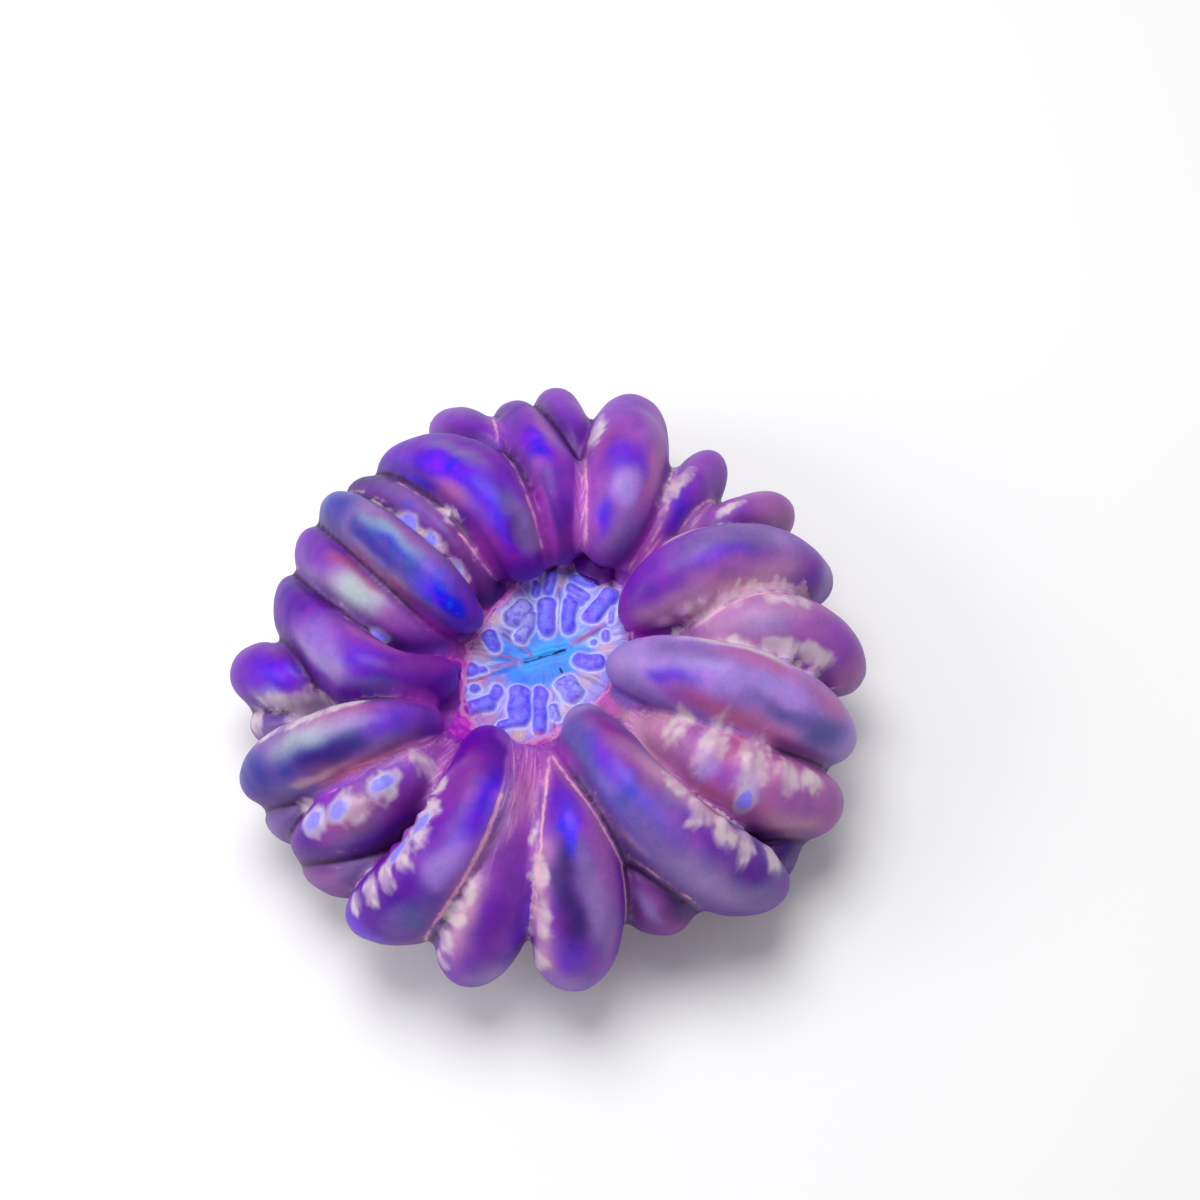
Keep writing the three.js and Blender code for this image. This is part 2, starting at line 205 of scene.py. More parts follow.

# Each lobe's own tint, then the dabs laid over it in order: tint, share of the length, degrees up from
# the lobe's right side, half length along it, half width across it, and how strongly. The lavender,
# lilac grey, pale teal and pale green dabs are partly the flesh's own colour and partly painted
# highlights.
COATS = {
    "far_small": ("purple", [
        ("violet", 0.42, 84, 4, 4, 0.9), ("plum", 0.2, 90, 4, 5, 0.7),
    ]),
    "far_right": ("orchid", [
        ("purple", 0.75, 95, 7, 7, 1), ("plum", 0.5, 118, 6, 3, 0.9),
        ("blue_violet", 0.43, 84, 3.5, 4, 0.9), ("ultramarine", 0.2, 96, 4, 1.8, 0.95),
        ("mauve_slate", 0.14, 58, 6, 3.5, 0.9), ("lavender", 0.32, 75, 3.6, 2.2, 1),
        ("rose", 0.45, 38, 9, 1.8, 0.7), ("lilac_grey", 0.62, 62, 4, 1.4, 0.4),
        ("plum", 0.04, 85, 2.5, 6, 0.7), ("lilac_grey", 0.62, 140, 3.2, 1.6, 0.9),
    ]),
    "far_right_root": ("violet", [
        ("dark_magenta", 0.2, 90, 4, 4, 0.6),
    ]),
    "slim_right": ("purple", [
        ("blue_violet", 0.4, 62, 5, 2.2, 0.8), ("plum", 0.2, 60, 5, 4, 0.8),
        ("orchid", 0.75, 90, 5, 3, 0.7),
    ]),
    "back_right": ("mauve", [
        ("purple", 0.38, 88, 5, 3, 0.8), ("rose", 0.7, 50, 5, 2.5, 0.6),
    ]),
    "upper_right": ("purple", [
        ("mauve_slate", 0.5, 104, 15, 4, 1), ("lilac_grey", 0.72, 96, 7, 2.2, 0.7),
        ("blue_violet", 0.42, 77, 7, 1.7, 0.8), ("violet", 0.18, 72, 7, 5, 0.9),
        ("violet", 0.8, 58, 5, 5, 0.9), ("mauve", 0.46, 47, 8, 3, 1), ("brick", 0.46, 34, 4, 1.6, 0.5),
        ("lilac_grey", 0.9, 78, 3, 5, 0.7), ("plum", 0.05, 70, 3, 6, 0.8),
        ("blush", 0.36, 12, 17, 4, 1), ("pale", 0.36, 146, 16, 1, 0.7),
        ("lilac_rose", 0.2, 26, 7, 3, 0.8), ("magenta", 0.03, 40, 3, 4, 0.6),
    ]),
    "tucked_right": ("mauve", [
        ("lilac_rose", 0.4, 104, 11, 2.6, 0.9), ("lilac_rose", 0.26, 66, 7, 5, 0.9),
        ("lilac_grey", 0.38, 70, 4, 2.4, 0.6), ("mauve", 0.6, 80, 4, 4, 0.9),
        ("purple", 0.74, 84, 5, 4, 0.6), ("rose", 0.84, 62, 4, 3, 0.6),
        ("lilac_grey", 0.93, 100, 3, 5, 0.5),
    ]),
    "right": ("lavender", [
        ("mauve_slate", 0.3, 99, 12, 2.6, 1), ("rose", 0.52, 118, 10, 2.4, 0.9),
        ("lilac_grey", 0.1, 72, 4, 5, 0.8), ("orchid", 0.36, 36, 8, 2.4, 0.95),
        ("lavender", 0.42, 72, 9, 3, 0.8), ("slate", 0.6, 54, 7, 1.7, 0.9),
        ("slate", 0.78, 60, 5, 3.6, 0.95), ("lilac_grey", 0.94, 60, 2.6, 4, 0.8),
        ("brick", 0.52, 26, 10, 2.3, 0.7), ("rose", 0.7, 16, 8, 2, 0.9), ("rose", 0.76, 106, 6, 3, 0.8),
        ("lavender", 0.62, 80, 5, 1.8, 0.6), ("pale", 0.42, 140, 18, 1.3, 0.85),
        ("ultramarine", 0.25, 56, 4.2, 1.3, 0.6), ("blue_violet", 0.3, 60, 5, 1.6, 0.4),
    ]),
    "low_right": ("rose", [
        ("blush", 0.1, 80, 8, 8, 0.85), ("rose", 0.26, 70, 5, 4, 0.6), ("mauve", 0.3, 96, 3, 5, 0.7),
        ("brick", 0.44, 92, 1.6, 4, 0.5), ("brick", 0.42, 40, 4, 2, 0.4),
        ("orchid", 0.45, 66, 2.5, 3, 0.9), ("lavender", 0.38, 68, 1.8, 2.6, 0.9),
        ("lavender", 0.53, 68, 2.2, 2.6, 0.9), ("mauve", 0.72, 62, 5, 4, 0.9),
        ("mauve", 0.88, 70, 4, 5, 0.8), ("blush", 0.74, 22, 6, 2.8, 0.7),
        ("pale", 0.66, 94, 1.8, 1.8, 0.9), ("pale", 0.77, 94, 1.6, 1.2, 0.9),
    ]),
    "low_right_end": ("indigo", []),
    "near_right": ("mauve_slate", [
        ("periwinkle", 0.45, 64, 12, 4, 0.7), ("lilac_grey", 0.05, 80, 3, 6, 0.9),
        ("slate", 0.2, 64, 9, 3, 1), ("blue_violet", 0.3, 86, 8, 2.4, 0.95),
        ("plum", 0.25, 118, 12, 3, 1), ("periwinkle", 0.4, 84, 4, 1.6, 0.6),
        ("slate", 0.46, 56, 6, 2.4, 0.85), ("mauve_slate", 0.57, 46, 7, 2.4, 0.9),
        ("violet", 0.64, 94, 6, 2.6, 0.9), ("orchid", 0.58, 78, 4, 2.4, 0.4),
        ("deep_violet", 0.8, 82, 5, 4, 1), ("lilac_grey", 0.72, 38, 8, 2.6, 0.85),
        ("mauve_slate", 0.88, 38, 5, 3, 0.8), ("blush", 0.42, 28, 14, 1.1, 0.5),
        ("blush", 0.5, 138, 12, 3, 0.85), ("brick", 0.62, 148, 3, 2, 0.8),
        ("violet", 0.95, 84, 2.5, 4, 0.8),
    ]),
    "near_right_end": ("plum", [
        ("mauve", 0.55, 74, 4, 2.5, 0.6), ("lavender", 0.58, 42, 5, 1.2, 0.8),
        ("indigo", 0.68, 112, 4.5, 3.4, 1),
    ]),
    "near": ("purple", [
        ("rose", 0.1, 80, 7, 6, 0.7), ("plum", 0.22, 80, 7, 4, 0.9), ("violet", 0.3, 66, 6, 3, 0.8),
        ("mauve", 0.45, 132, 13, 2.8, 0.95), ("blue_violet", 0.34, 84, 4, 2.2, 0.7),
        ("indigo", 0.54, 74, 7, 2.6, 1), ("indigo", 0.68, 88, 5, 2.4, 0.9),
        ("mauve_slate", 0.52, 100, 5.5, 1.8, 1), ("lilac_grey", 0.64, 114, 5, 1.8, 0.7),
        ("lilac_grey", 0.72, 132, 5, 2, 0.5), ("blue_violet", 0.79, 88, 3.5, 2.6, 0.6),
        ("lilac_grey", 0.9, 90, 3, 5, 0.5), ("cobalt", 0.42, 84, 3.3, 1.3, 1),
        ("blush", 0.62, 34, 14, 2.4, 0.8),
    ]),
    "near_tucked": ("purple", [
        ("magenta", 0.08, 92, 5, 5, 0.6), ("rose", 0.24, 96, 5, 3, 0.6),
        ("rose", 0.3, 100, 6, 3.4, 0.7), ("plum", 0.48, 98, 6, 3.4, 0.6),
        ("violet", 0.72, 112, 6, 4, 0.8), ("lilac_grey", 0.9, 150, 3, 4, 0.7),
        ("blue_violet", 0.72, 160, 6, 2, 0.5), ("blush", 0.72, 72, 10, 2.4, 0.8),
    ]),
    "near_left": ("violet", [
        ("deep_violet", 0.2, 92, 6, 4.6, 1), ("orchid", 0.1, 128, 4, 2, 0.8),
        ("plum", 0.3, 66, 8, 2.8, 0.8), ("slate", 0.27, 130, 8, 1.8, 0.9),
        ("ultramarine", 0.33, 113, 6, 1.9, 0.85), ("blue_violet", 0.44, 106, 6, 3.4, 0.9),
        ("violet", 0.5, 80, 9, 2, 0.9), ("lavender", 0.55, 111, 5, 2.6, 0.85),
        ("mauve", 0.5, 142, 10, 1.8, 0.7), ("deep_violet", 0.77, 98, 7, 4.6, 0.95),
        ("slate", 0.74, 138, 5, 2.8, 0.85), ("ultramarine", 0.91, 122, 3, 4, 0.6),
        ("mauve", 0.5, 28, 12, 1.4, 0.7),
    ]),
    "low_left_end": ("mauve", [
        ("lilac_grey", 0.42, 134, 3.4, 2, 0.9),
    ]),
    "low_left": ("purple", [
        ("violet", 0.4, 120, 7, 3, 0.7), ("plum", 0.34, 142, 8, 3, 0.8),
        ("mauve_slate", 0.56, 138, 6, 2.4, 0.85), ("deep_violet", 0.8, 128, 4, 4, 0.9),
        ("mauve", 0.16, 110, 5, 5, 0.8), ("mauve_slate", 0.5, 86, 10, 2.4, 0.7),
        ("red_brown", 0.56, 112, 7, 3, 0.6),
    ]),
    "left_end": ("mauve_slate", [
        ("lilac_grey", 0.5, 100, 3, 1.4, 0.6),
    ]),
    "left": ("mauve_slate", [
        ("violet", 0.1, 110, 6, 6, 0.8), ("magenta", 0.03, 100, 2.4, 5, 0.6),
        ("purple", 0.28, 84, 7, 4, 0.7), ("blue_violet", 0.28, 104, 6, 2.2, 0.6),
        ("red_brown", 0.42, 62, 9, 2, 0.6), ("slate", 0.84, 112, 5.5, 6, 0.85),
        ("lilac_rose", 0.5, 76, 10, 2.4, 0.6), ("pale_green_and_highlight", 0.55, 101, 8, 2.9, 0.9),
        ("lilac_grey", 0.42, 88, 5, 1.6, 0.6), ("ink", 0.56, 125, 13, 2.9, 1),
        ("indigo", 0.5, 126, 9, 2, 0.7), ("ink", 0.8, 126, 6, 4, 0.85),
        ("deep_violet", 0.9, 150, 5, 3, 0.9), ("red_brown", 0.38, 160, 11, 2.6, 0.95),
        ("sand", 0.57, 151, 8, 0.8, 0.6),
    ]),
    "left_knuckle": ("mauve_slate", []),
    "left_bulb": ("violet", [
        ("blue_violet", 0.56, 116, 6, 5, 0.9), ("membrane", 0.42, 168, 8, 2.2, 0.85),
        ("ultramarine", 0.5, 112, 3.4, 2.6, 0.5), ("purple", 0.86, 120, 2.5, 5, 0.7),
        ("mauve", 0.3, 150, 5, 3, 0.8), ("plum", 0.5, 60, 7, 2, 0.6),
    ]),
    "bowed_left": ("violet", [
        ("deep_violet", 0.84, 98, 6.5, 5.5, 0.95), ("lavender", 0.6, 108, 5.5, 3.2, 0.65),
        ("lilac_grey", 0.58, 134, 9, 1.8, 0.9), ("purple", 0.42, 58, 9, 3, 0.9),
        ("rose", 0.45, 44, 8, 1.6, 0.6), ("blue_violet", 0.42, 98, 4, 2.6, 0.9),
        ("deep_violet", 0.26, 104, 9, 3.8, 1), ("plum", 0.16, 76, 6, 3, 0.8),
        ("slate", 0.34, 134, 9, 1.8, 0.75), ("magenta", 0.04, 60, 2.6, 3, 0.5),
    ]),
    "tucked_left": ("purple", [
        ("violet", 0.76, 98, 7, 5, 1), ("mauve_slate", 0.5, 140, 11, 2, 0.9),
        ("lilac_grey", 0.62, 146, 7, 1.4, 0.7), ("mauve", 0.3, 100, 9, 4, 0.9),
        ("orchid", 0.2, 105, 4, 3, 0.5), ("mauve", 0.44, 116, 8, 4, 0.8),
        ("pale_green_and_highlight", 0.44, 119, 5, 3, 1), ("red_brown", 0.5, 84, 9, 1.6, 0.8),
    ]),
    "upper_left": ("mauve_slate", [
        ("steel", 0.84, 112, 5.5, 7, 0.95), ("blue_violet", 0.1, 112, 6, 7, 0.7),
        ("violet", 0.14, 70, 8, 3, 0.7), ("mauve", 0.5, 60, 12, 1.8, 0.7),
        ("pale_teal_and_highlight", 0.5, 96, 9, 2, 0.95), ("periwinkle", 0.28, 98, 4, 2.4, 0.8),
        ("azure", 0.44, 107, 8, 1.4, 0.9), ("ink", 0.5, 121, 14, 2.6, 1), ("ink", 0.78, 116, 4, 3, 0.8),
        ("lilac_grey", 0.56, 144, 10, 1.3, 0.9), ("blush", 0.46, 155, 9, 1.3, 0.9),
        ("red_brown", 0.5, 168, 10, 2, 0.9), ("periwinkle", 0.26, 134, 4, 1.6, 0.8),
        ("cobalt", 0.19, 120, 5, 1.7, 1),
    ]),
    "back_left": ("indigo", [
        ("plum", 0.3, 100, 12, 8, 0.7), ("violet", 0.74, 102, 6, 4, 0.6),
        ("purple", 0.5, 104, 6, 3, 0.7), ("mauve_slate", 0.6, 92, 9, 2, 0.7),
        ("lilac_grey", 0.42, 72, 8, 0.9, 0.6), ("periwinkle", 0.55, 108, 1.8, 1.2, 0.4),
    ]),
    "far_left": ("violet", [
        ("mauve_slate", 0.58, 84, 11, 2.2, 0.95), ("blue_violet", 0.8, 112, 6, 5, 0.8),
        ("violet", 0.78, 84, 4, 2.4, 0.8), ("ultramarine", 0.6, 108, 5, 2.2, 0.95),
        ("ultramarine", 0.47, 106, 5, 2.2, 0.95), ("blue_violet", 0.34, 110, 5, 4.2, 0.9),
        ("ultramarine", 0.34, 102, 4, 1.8, 0.7), ("ultramarine", 0.21, 104, 6, 2, 0.85),
        ("indigo", 0.2, 89, 8, 1.8, 0.95), ("mauve_slate", 0.15, 76, 8, 2, 0.9),
        ("rose", 0.48, 134, 5, 2.2, 0.7), ("plum", 0.18, 144, 6, 3, 0.8),
        ("cobalt", 0.66, 133, 4, 0.9, 1), ("violet", 0.05, 96, 2.5, 6, 0.9),
    ]),
    "far_left_end": ("purple", [
        ("violet", 0.55, 100, 5, 4, 0.8), ("mauve_slate", 0.7, 75, 5, 2, 0.7),
        ("blue_violet", 0.36, 98, 3, 3, 0.6),
    ]),
    "far_middle": ("purple", [
        ("deep_violet", 0.8, 110, 4, 5, 0.9), ("ultramarine", 0.52, 96, 5, 2.2, 1),
        ("violet", 0.64, 118, 5, 2.6, 0.8), ("mauve", 0.4, 112, 4, 1.8, 0.8),
        ("deep_violet", 0.26, 96, 8, 3, 0.9), ("dark_magenta", 0.12, 84, 5, 3, 0.7),
        ("mauve", 0.62, 66, 7, 1.4, 0.8),
    ]),
}

# Pale patches on each lobe, where the skeleton's edge shows through the flesh: share of the length,
# degrees, half length and half width.
PATCHES = {
    "low_right": [
        (0.22, 104, 1.8, 3.4), (0.36, 102, 2.3, 4), (0.52, 98, 2.4, 4.3), (0.65, 93, 2, 2.6),
        (0.75, 93, 1.9, 2),
    ],
    "near_right": [
        (0.47, 138, 2.4, 2.1), (0.58, 118, 1.6, 2.9), (0.68, 112, 2.2, 2.6), (0.76, 106, 1.7, 3.4),
        (0.87, 114, 2, 2.6),
    ],
    "upper_right": [
        (0.3, 14, 1.6, 2.4), (0.5, 12, 1.6, 2.6), (0.62, 18, 1.8, 2.5), (0.73, 20, 1.4, 2.2),
    ],
    "tucked_right": [(0.6, 42, 4.1, 1.7), (0.24, 42, 3, 1.4), (0.42, 38, 3, 1.5), (0.46, 128, 3.6, 2)],
    "right": [(0.34, 146, 2.4, 1), (0.52, 144, 2.6, 1.1), (0.68, 140, 2.4, 1)],
    "low_left": [(0.22, 104, 1.7, 2.6), (0.4, 96, 2.6, 2.1), (0.54, 98, 2.6, 2.7), (0.7, 88, 2.2, 2.1)],
    "near_left": [
        (0.33, 32, 1.7, 1.8), (0.43, 42, 1.6, 2.2), (0.53, 54, 1.7, 2.5), (0.62, 66, 1.6, 2.5),
        (0.71, 74, 1.6, 2.3), (0.79, 82, 1.6, 2.5), (0.87, 88, 1.5, 1.7),
    ],
    "near_tucked": [
        (0.62, 74, 2.2, 1.3), (0.72, 64, 2.2, 1.9), (0.82, 62, 1.9, 2.1), (0.9, 66, 1.4, 1.7),
    ],
    "near": [(0.4, 32, 2.4, 1.1), (0.54, 38, 2.8, 1.5), (0.69, 44, 2.6, 1.9), (0.83, 42, 2.2, 1.9)],
    "left": [(0.4, 42, 4, 1.6), (0.58, 44, 4.6, 1.9), (0.74, 52, 3, 1.6)],
    "left_bulb": [(0.3, 162, 4, 2.6), (0.56, 168, 3.4, 1.6)],
    "left_knuckle": [(0.3, 106, 2.6, 2.6), (0.7, 116, 2, 2.2)],
    "far_right": [(0.62, 142, 4.1, 1.8)],
    "slim_right": [(0.52, 104, 5.3, 1.2)],
    "back_right": [(0.4, 104, 3.6, 1)],
    "back_left": [
        (0.42, 70, 3, 1), (0.24, 76, 2.4, 0.8), (0.68, 128, 3, 0.8), (0.5, 128, 3.4, 1.1),
        (0.34, 120, 3, 1), (0.2, 116, 2, 0.9),
    ],
    "left_end": [(0.4, 90, 1.8, 1.3)],
}

# Small blue spots in the pale patches, given the same way
SPOTS = {
    "low_right": [(0.54, 45, 1.05, 1.9)],
    "back_left": [
        (0.52, 126, 2.1, 1), (0.39, 122, 1.4, 0.9), (0.22, 116, 1.2, 0.8), (0.4, 72, 1.1, 0.7),
    ],
    "low_left": [(0.4, 94, 1.9, 1.2), (0.58, 92, 1.8, 1.4), (0.7, 88, 1.8, 1.4)],
    "near_left": [(0.5, 44, 2, 1), (0.64, 52, 1.9, 1)],
    "tucked_left": [(0.29, 158, 1.4, 0.8)],
}

# Neighbours with a pale web of flesh between them rather than a dark groove, and how far out it reaches
# on the one and on the other, as a share of the length.
WEBS = [
    ("near_right", "low_right", 0.8, 0.62),
    ("low_right", "right", 0.6, 0.66),
    ("right", "tucked_right", 0.9, 0.9),
    ("right", "upper_right", 0.9, 0.9),
    ("upper_right", "tucked_right", 0.8, 0.7),
    ("left", "low_left", 0.7, 0.8),
    ("near_left", "low_left", 0.7, 0.5),
    ("near_left", "low_left_end", 0.9, 0),
    ("near_tucked", "near", 0.9, 0.9),
    ("near_left", "near_tucked", 0.34, 0.7),
    ("slim_right", "far_right", 0.9, 0),
    ("slim_right", "upper_right", 0.9, 0),
    ("slim_right", "back_right", 0.9, 0.9),
    ("left_bulb", "left", 0.9, 0.9),
    ("left_knuckle", "left", 1.1, 0),
    ("far_left_end", "far_middle", 0.8, 0.8),
    ("far_right", "far_middle", 0.9, 0.9),
    ("far_right", "far_small", 0.9, 0),
    ("bowed_left", "left_bulb", 0.3, 0),
]

# Thin bright edges of the flesh beside grooves, partly the flesh's own pale edge and partly painted rim
# light: a lobe, its neighbour there, the first and last share, and how bright
EDGES = [
    ("near_left", "near_tucked", 0.3, 0.85, 1),
    ("near", "near_tucked", 0.1, 0.7, 0.8),
    ("near", "near_right", 0.1, 0.7, 1),
    ("near", "near_right_end", 0.3, 1, 1),
    ("near_right", "near", 0.5, 0.8, 0.7),
    ("near_right", "near_right_end", 0.3, 0.8, 0.6),
    ("slim_right", "far_right", 0.2, 0.9, 0.55),
    ("slim_right", "upper_right", 0.3, 0.8, 0.8),
    ("slim_right", "back_right", 0.3, 0.9, 0.7),
    ("upper_right", "slim_right", 0.05, 0.5, 0.9),
    ("upper_right", "back_right", 0.3, 0.75, 1),
    ("upper_right", "tucked_right", 0.3, 0.9, 0.7),
    ("tucked_right", "upper_right", 0.1, 0.6, 0.9),
    ("right", "upper_right", 0.05, 0.6, 1),
    ("right", "tucked_right", 0.1, 0.85, 1),
    ("far_left", "far_middle", 0.1, 0.9, 0.6),
    ("far_left", "far_left_end", 0.1, 0.9, 0.5),
    ("far_left_end", "far_middle", 0.1, 0.8, 0.7),
    ("far_right", "far_middle", 0.1, 0.8, 0.7),
    ("back_left", "far_left", 0.1, 0.7, 0.6),
    ("back_left", "upper_left", 0.5, 0.95, 0.3),
    ("bowed_left", "tucked_left", 0.1, 0.7, 0.6),
    ("near_right", "low_right", 0.05, 0.4, 0.8),
]

# Ragged pale fringes along grooves: a lobe, its neighbour there, the first and last share, and how far up
# the lobe the fringe goes.
FRINGES = [
    ("upper_right", "tucked_right", 0.1, 0.86, 2.6),
    ("upper_right", "right", 0.2, 0.6, 2.4),
    ("tucked_right", "upper_right", 0.1, 0.5, 1.8),
    ("tucked_right", "right", 0.3, 0.95, 2.2),
    ("right", "tucked_right", 0.35, 0.8, 1.2),
    ("slim_right", "far_right", 0.5, 0.95, 1.8),
    ("far_right", "far_middle", 0.7, 0.95, 1.8),
    ("upper_right", "back_right", 0.4, 0.8, 1),
    ("back_right", "upper_right", 0.2, 0.7, 1.2),
    ("near_right", "low_right", 0.25, 0.9, 1.8),
    ("left_bulb", "left", 0.1, 1, 3),
    ("left_knuckle", "left", 0.1, 1, 2.6),
    ("near_left", "low_left", 0.3, 0.9, 1.8),
    ("near_left", "low_left_end", 0.3, 0.95, 1.8),
    ("near", "near_tucked", 0.5, 0.86, 1.6),
]

# Dabs on the oral disc and on the flesh round it: tint, x, y, half size and how strongly
DISC_DABS = [
    ("sand", -11, 0.6, 2.6, 0.8),
    ("brick", -10.6, -4.6, 1.6, 0.7),
    ("sand", -8.8, 5.4, 2, 0.8),
    ("leaf", 1.4, 7.4, 1, 0.9),
    ("leaf", 5.4, 8.2, 0.8, 0.6),
    ("sand", 1.8, 13.2, 1.4, 0.8),
    ("brick", 8.2, 12, 1.3, 0.8),
    ("leaf", 5.6, 3.4, 1.6, 0.7),
    ("sand", 9, 1, 1.6, 0.8),
    ("sand", 6.4, -4.4, 1.8, 0.8),
    ("sand", 3.2, -10, 1.6, 0.7),
    ("sand", -4.6, -14, 1.6, 0.9),
    ("brick", -9.4, -11, 1.6, 0.7),
    ("brick", -6.3, -9.4, 0.8, 0.8),
    ("brick", -7.2, -4.6, 0.8, 0.6),
]
TISSUE_DABS = [
    ("magenta", -13, -11.5, 5, 1),
    ("magenta", -15, -4.5, 3, 0.8),
    ("magenta", -8, -15, 4, 0.9),
    ("hot_pink", -3.4, -16.6, 2, 0.7),
    ("rose", 2, -16, 3, 0.6),
    ("rose", 10.5, -9, 4, 0.8),
    ("hot_pink", 11, 7, 2.8, 0.8),
    ("hot_pink", 15, 3.5, 3, 0.8),
    ("violet", -9, 11.5, 3.4, 0.7),
    ("magenta", 12, 4, 3, 0.7),
    ("hot_pink", 2, 16, 2.4, 0.6),
    ("sand", 13, -12, 2.4, 0.6),
]


def activate(piece):
    bpy.ops.object.select_all(action="DESELECT")
    piece.select_set(True)
    bpy.context.view_layer.objects.active = piece


def start_editing(piece, kind="VERT"):
    activate(piece)
    bpy.ops.object.mode_set(mode="EDIT")
    bpy.ops.mesh.select_mode(type=kind)
    bpy.ops.mesh.select_all(action="DESELECT")
    return bmesh.from_edit_mesh(piece.data)


def stop_editing():
    bpy.ops.object.mode_set(mode="OBJECT")


def pick(mesh, wanted):
    """Selects exactly the vertices for which the test holds."""
    bpy.ops.mesh.select_all(action="DESELECT")
    for v in mesh.verts:
        v.select = wanted(v.co)
    mesh.select_flush_mode()


def finish_with(piece, kind, **settings):
    """Adds a modifier and applies it."""
    activate(piece)
    modifier = piece.modifiers.new(kind.title(), kind)
    for key, value in settings.items():
        setattr(modifier, key, value)
    bpy.ops.object.modifier_apply(modifier=modifier.name)


def smooth_step(low, high, value):
    share = np.clip((value - low) / (high - low), 0, 1)
    return share * share * (3 - 2 * share)


def drift(points, size, seed):
    """A soft wandering value from about -1 to 1 that changes over the given size."""
    ways = np.random.default_rng(seed)
    total = np.zeros(len(points))
    for _ in range(7):
        way = ways.normal(size=3)
        way *= 2 * math.pi / size / np.linalg.norm(way) * ways.uniform(0.6, 1.4)
        total += np.sin(points @ way + ways.uniform(0, 2 * math.pi))
    return total / 3.5


def waved(points, size, seed, amount):
    """The points moved a little aside, so that what is measured from them gets uneven edges."""
    return points + amount * np.stack([drift(points, size, seed + n) for n in range(3)], 1)


def read_all(items, field, kind, width=1):
    """One field of every item, in rows of the given width."""
    values = np.empty(len(items) * width, kind)
    items.foreach_get(field, values)
    return values.reshape(-1, width) if width > 1 else values


def move_mesh_points(piece, points):
    piece.data.vertices.foreach_set("co", (points * MM).ravel())
    piece.data.update()


# Camera, floor and light


def add_camera():
    bpy.ops.object.camera_add(
        location=Vector(CAMERA_EYE) * MM,
        rotation=(math.radians(90 - CAMERA_ELEVATION), 0, 0),
    )
    camera = bpy.context.active_object
    camera.data.lens = CAMERA_LENS
    camera.data.sensor_width = CAMERA_SENSOR
    camera.data.clip_start = 0.01
    bpy.context.scene.camera = camera


def add_floor():
    bpy.ops.mesh.primitive_plane_add(size=3)
    floor = bpy.context.active_object
    floor.name = "floor"
    paint = bpy.data.materials.new("pale_floor")
    paint.use_nodes = True
    surface = paint.node_tree.nodes["Principled BSDF"]
    surface.inputs["Base Color"].default_value = (0.86, 0.86, 0.87, 1)
    surface.inputs["Roughness"].default_value = 0.9
    floor.data.materials.append(paint)


def add_soft_light(name, place, size, power, colour=(1, 1, 1)):
    bpy.ops.object.light_add(type="AREA", location=Vector(place) * MM)
    light = bpy.context.active_object
    light.name = name
    light.data.shape = "DISK"
    light.data.size = size * MM
    light.data.energy = power
    light.data.color = colour
    aim = Vector((0, 0, 15)) * MM - light.location
    light.rotation_euler = aim.to_track_quat("-Z", "Y").to_euler()


def add_studio():
    world = bpy.data.worlds.new("studio")
    bpy.context.scene.world = world
    world.use_nodes = True
    world.node_tree.nodes["Background"].inputs["Color"].default_value = (1, 1, 1, 1)
    world.node_tree.nodes["Background"].inputs["Strength"].default_value = 0.44
    add_soft_light("overhead", (-60, 130, 520), 340, 2.1)
    add_soft_light("left_side", (-420, -80, 300), 300, 0.9)
    bpy.context.scene.view_settings.view_transform = "Standard"


# The polyp's shape


def blunt_egg():
    """The lobe that all others are copied from: a ball along X, made blunter, and deeper below."""
    bpy.ops.mesh.primitive_uv_sphere_add(
        segments=EGG_AROUND, ring_count=EGG_ALONG, rotation=(0, math.pi / 2, 0)
    )
    egg = bpy.context.active_object
    bpy.ops.object.transform_apply(location=True, rotation=True, scale=True)
    mesh = start_editing(egg)
    for ring in range(1, EGG_ALONG):
        x = math.cos(math.pi * ring / EGG_ALONG)
        fuller = (1 - abs(x) ** LOBE_ROUNDNESS) ** (1 / LOBE_ROUNDNESS) / math.sqrt(1 - x * x)
        pick(mesh, lambda co: abs(co.x - x) < 1e-4)
        bpy.ops.transform.resize(value=(1, fuller, fuller), center_override=(x, 0, 0))
    pick(mesh, lambda co: co.z < -1e-4)
    bpy.ops.transform.resize(value=(1, 1, LOBE_ROOT), center_override=(0, 0, 0))
    stop_editing()
    return egg


def middle_line(inner, crest, outer):
    """The curve from a lobe's inner end, over its crest, to its outer end."""
    inner, crest, outer = (Vector(p) * MM for p in (inner, crest, outer))
    pull = 2 * crest - (inner + outer) / 2
    bpy.ops.curve.primitive_bezier_curve_add()
    line = bpy.context.active_object
    line.data.twist_mode = "Z_UP"
    line.data.resolution_u = 32
    for point, place, before, after in zip(
        line.data.splines[0].bezier_points,
        (inner, outer),
        (inner, outer + (pull - outer) * 2 / 3),
        (inner + (pull - inner) * 2 / 3, outer),
    ):
        point.handle_left_type = point.handle_right_type = "FREE"
        point.co, point.handle_left, point.handle_right = place, before, after
    return line


def lobe(egg, name, inner, crest, outer, wide, high, flare):
    line = middle_line(inner, crest, outer)
    length = line.data.splines[0].calc_length()
    piece = bpy.data.objects.new(name, egg.data.copy())
    bpy.context.collection.objects.link(piece)
    start_editing(piece)
    bpy.ops.mesh.select_all(action="SELECT")
    bpy.ops.transform.resize(value=(length / 2, wide * MM, high * MM), center_override=(0, 0, 0))
    stop_editing()
    if flare:
        finish_with(piece, "SIMPLE_DEFORM", deform_method="TAPER", deform_axis="X", factor=2 * flare)
    start_editing(piece)
    bpy.ops.mesh.select_all(action="SELECT")
    bpy.ops.transform.translate(value=(length / 2, 0, 0))
    stop_editing()
    finish_with(piece, "CURVE", object=line, deform_axis="POS_X")
    bpy.data.objects.remove(line)
    return piece


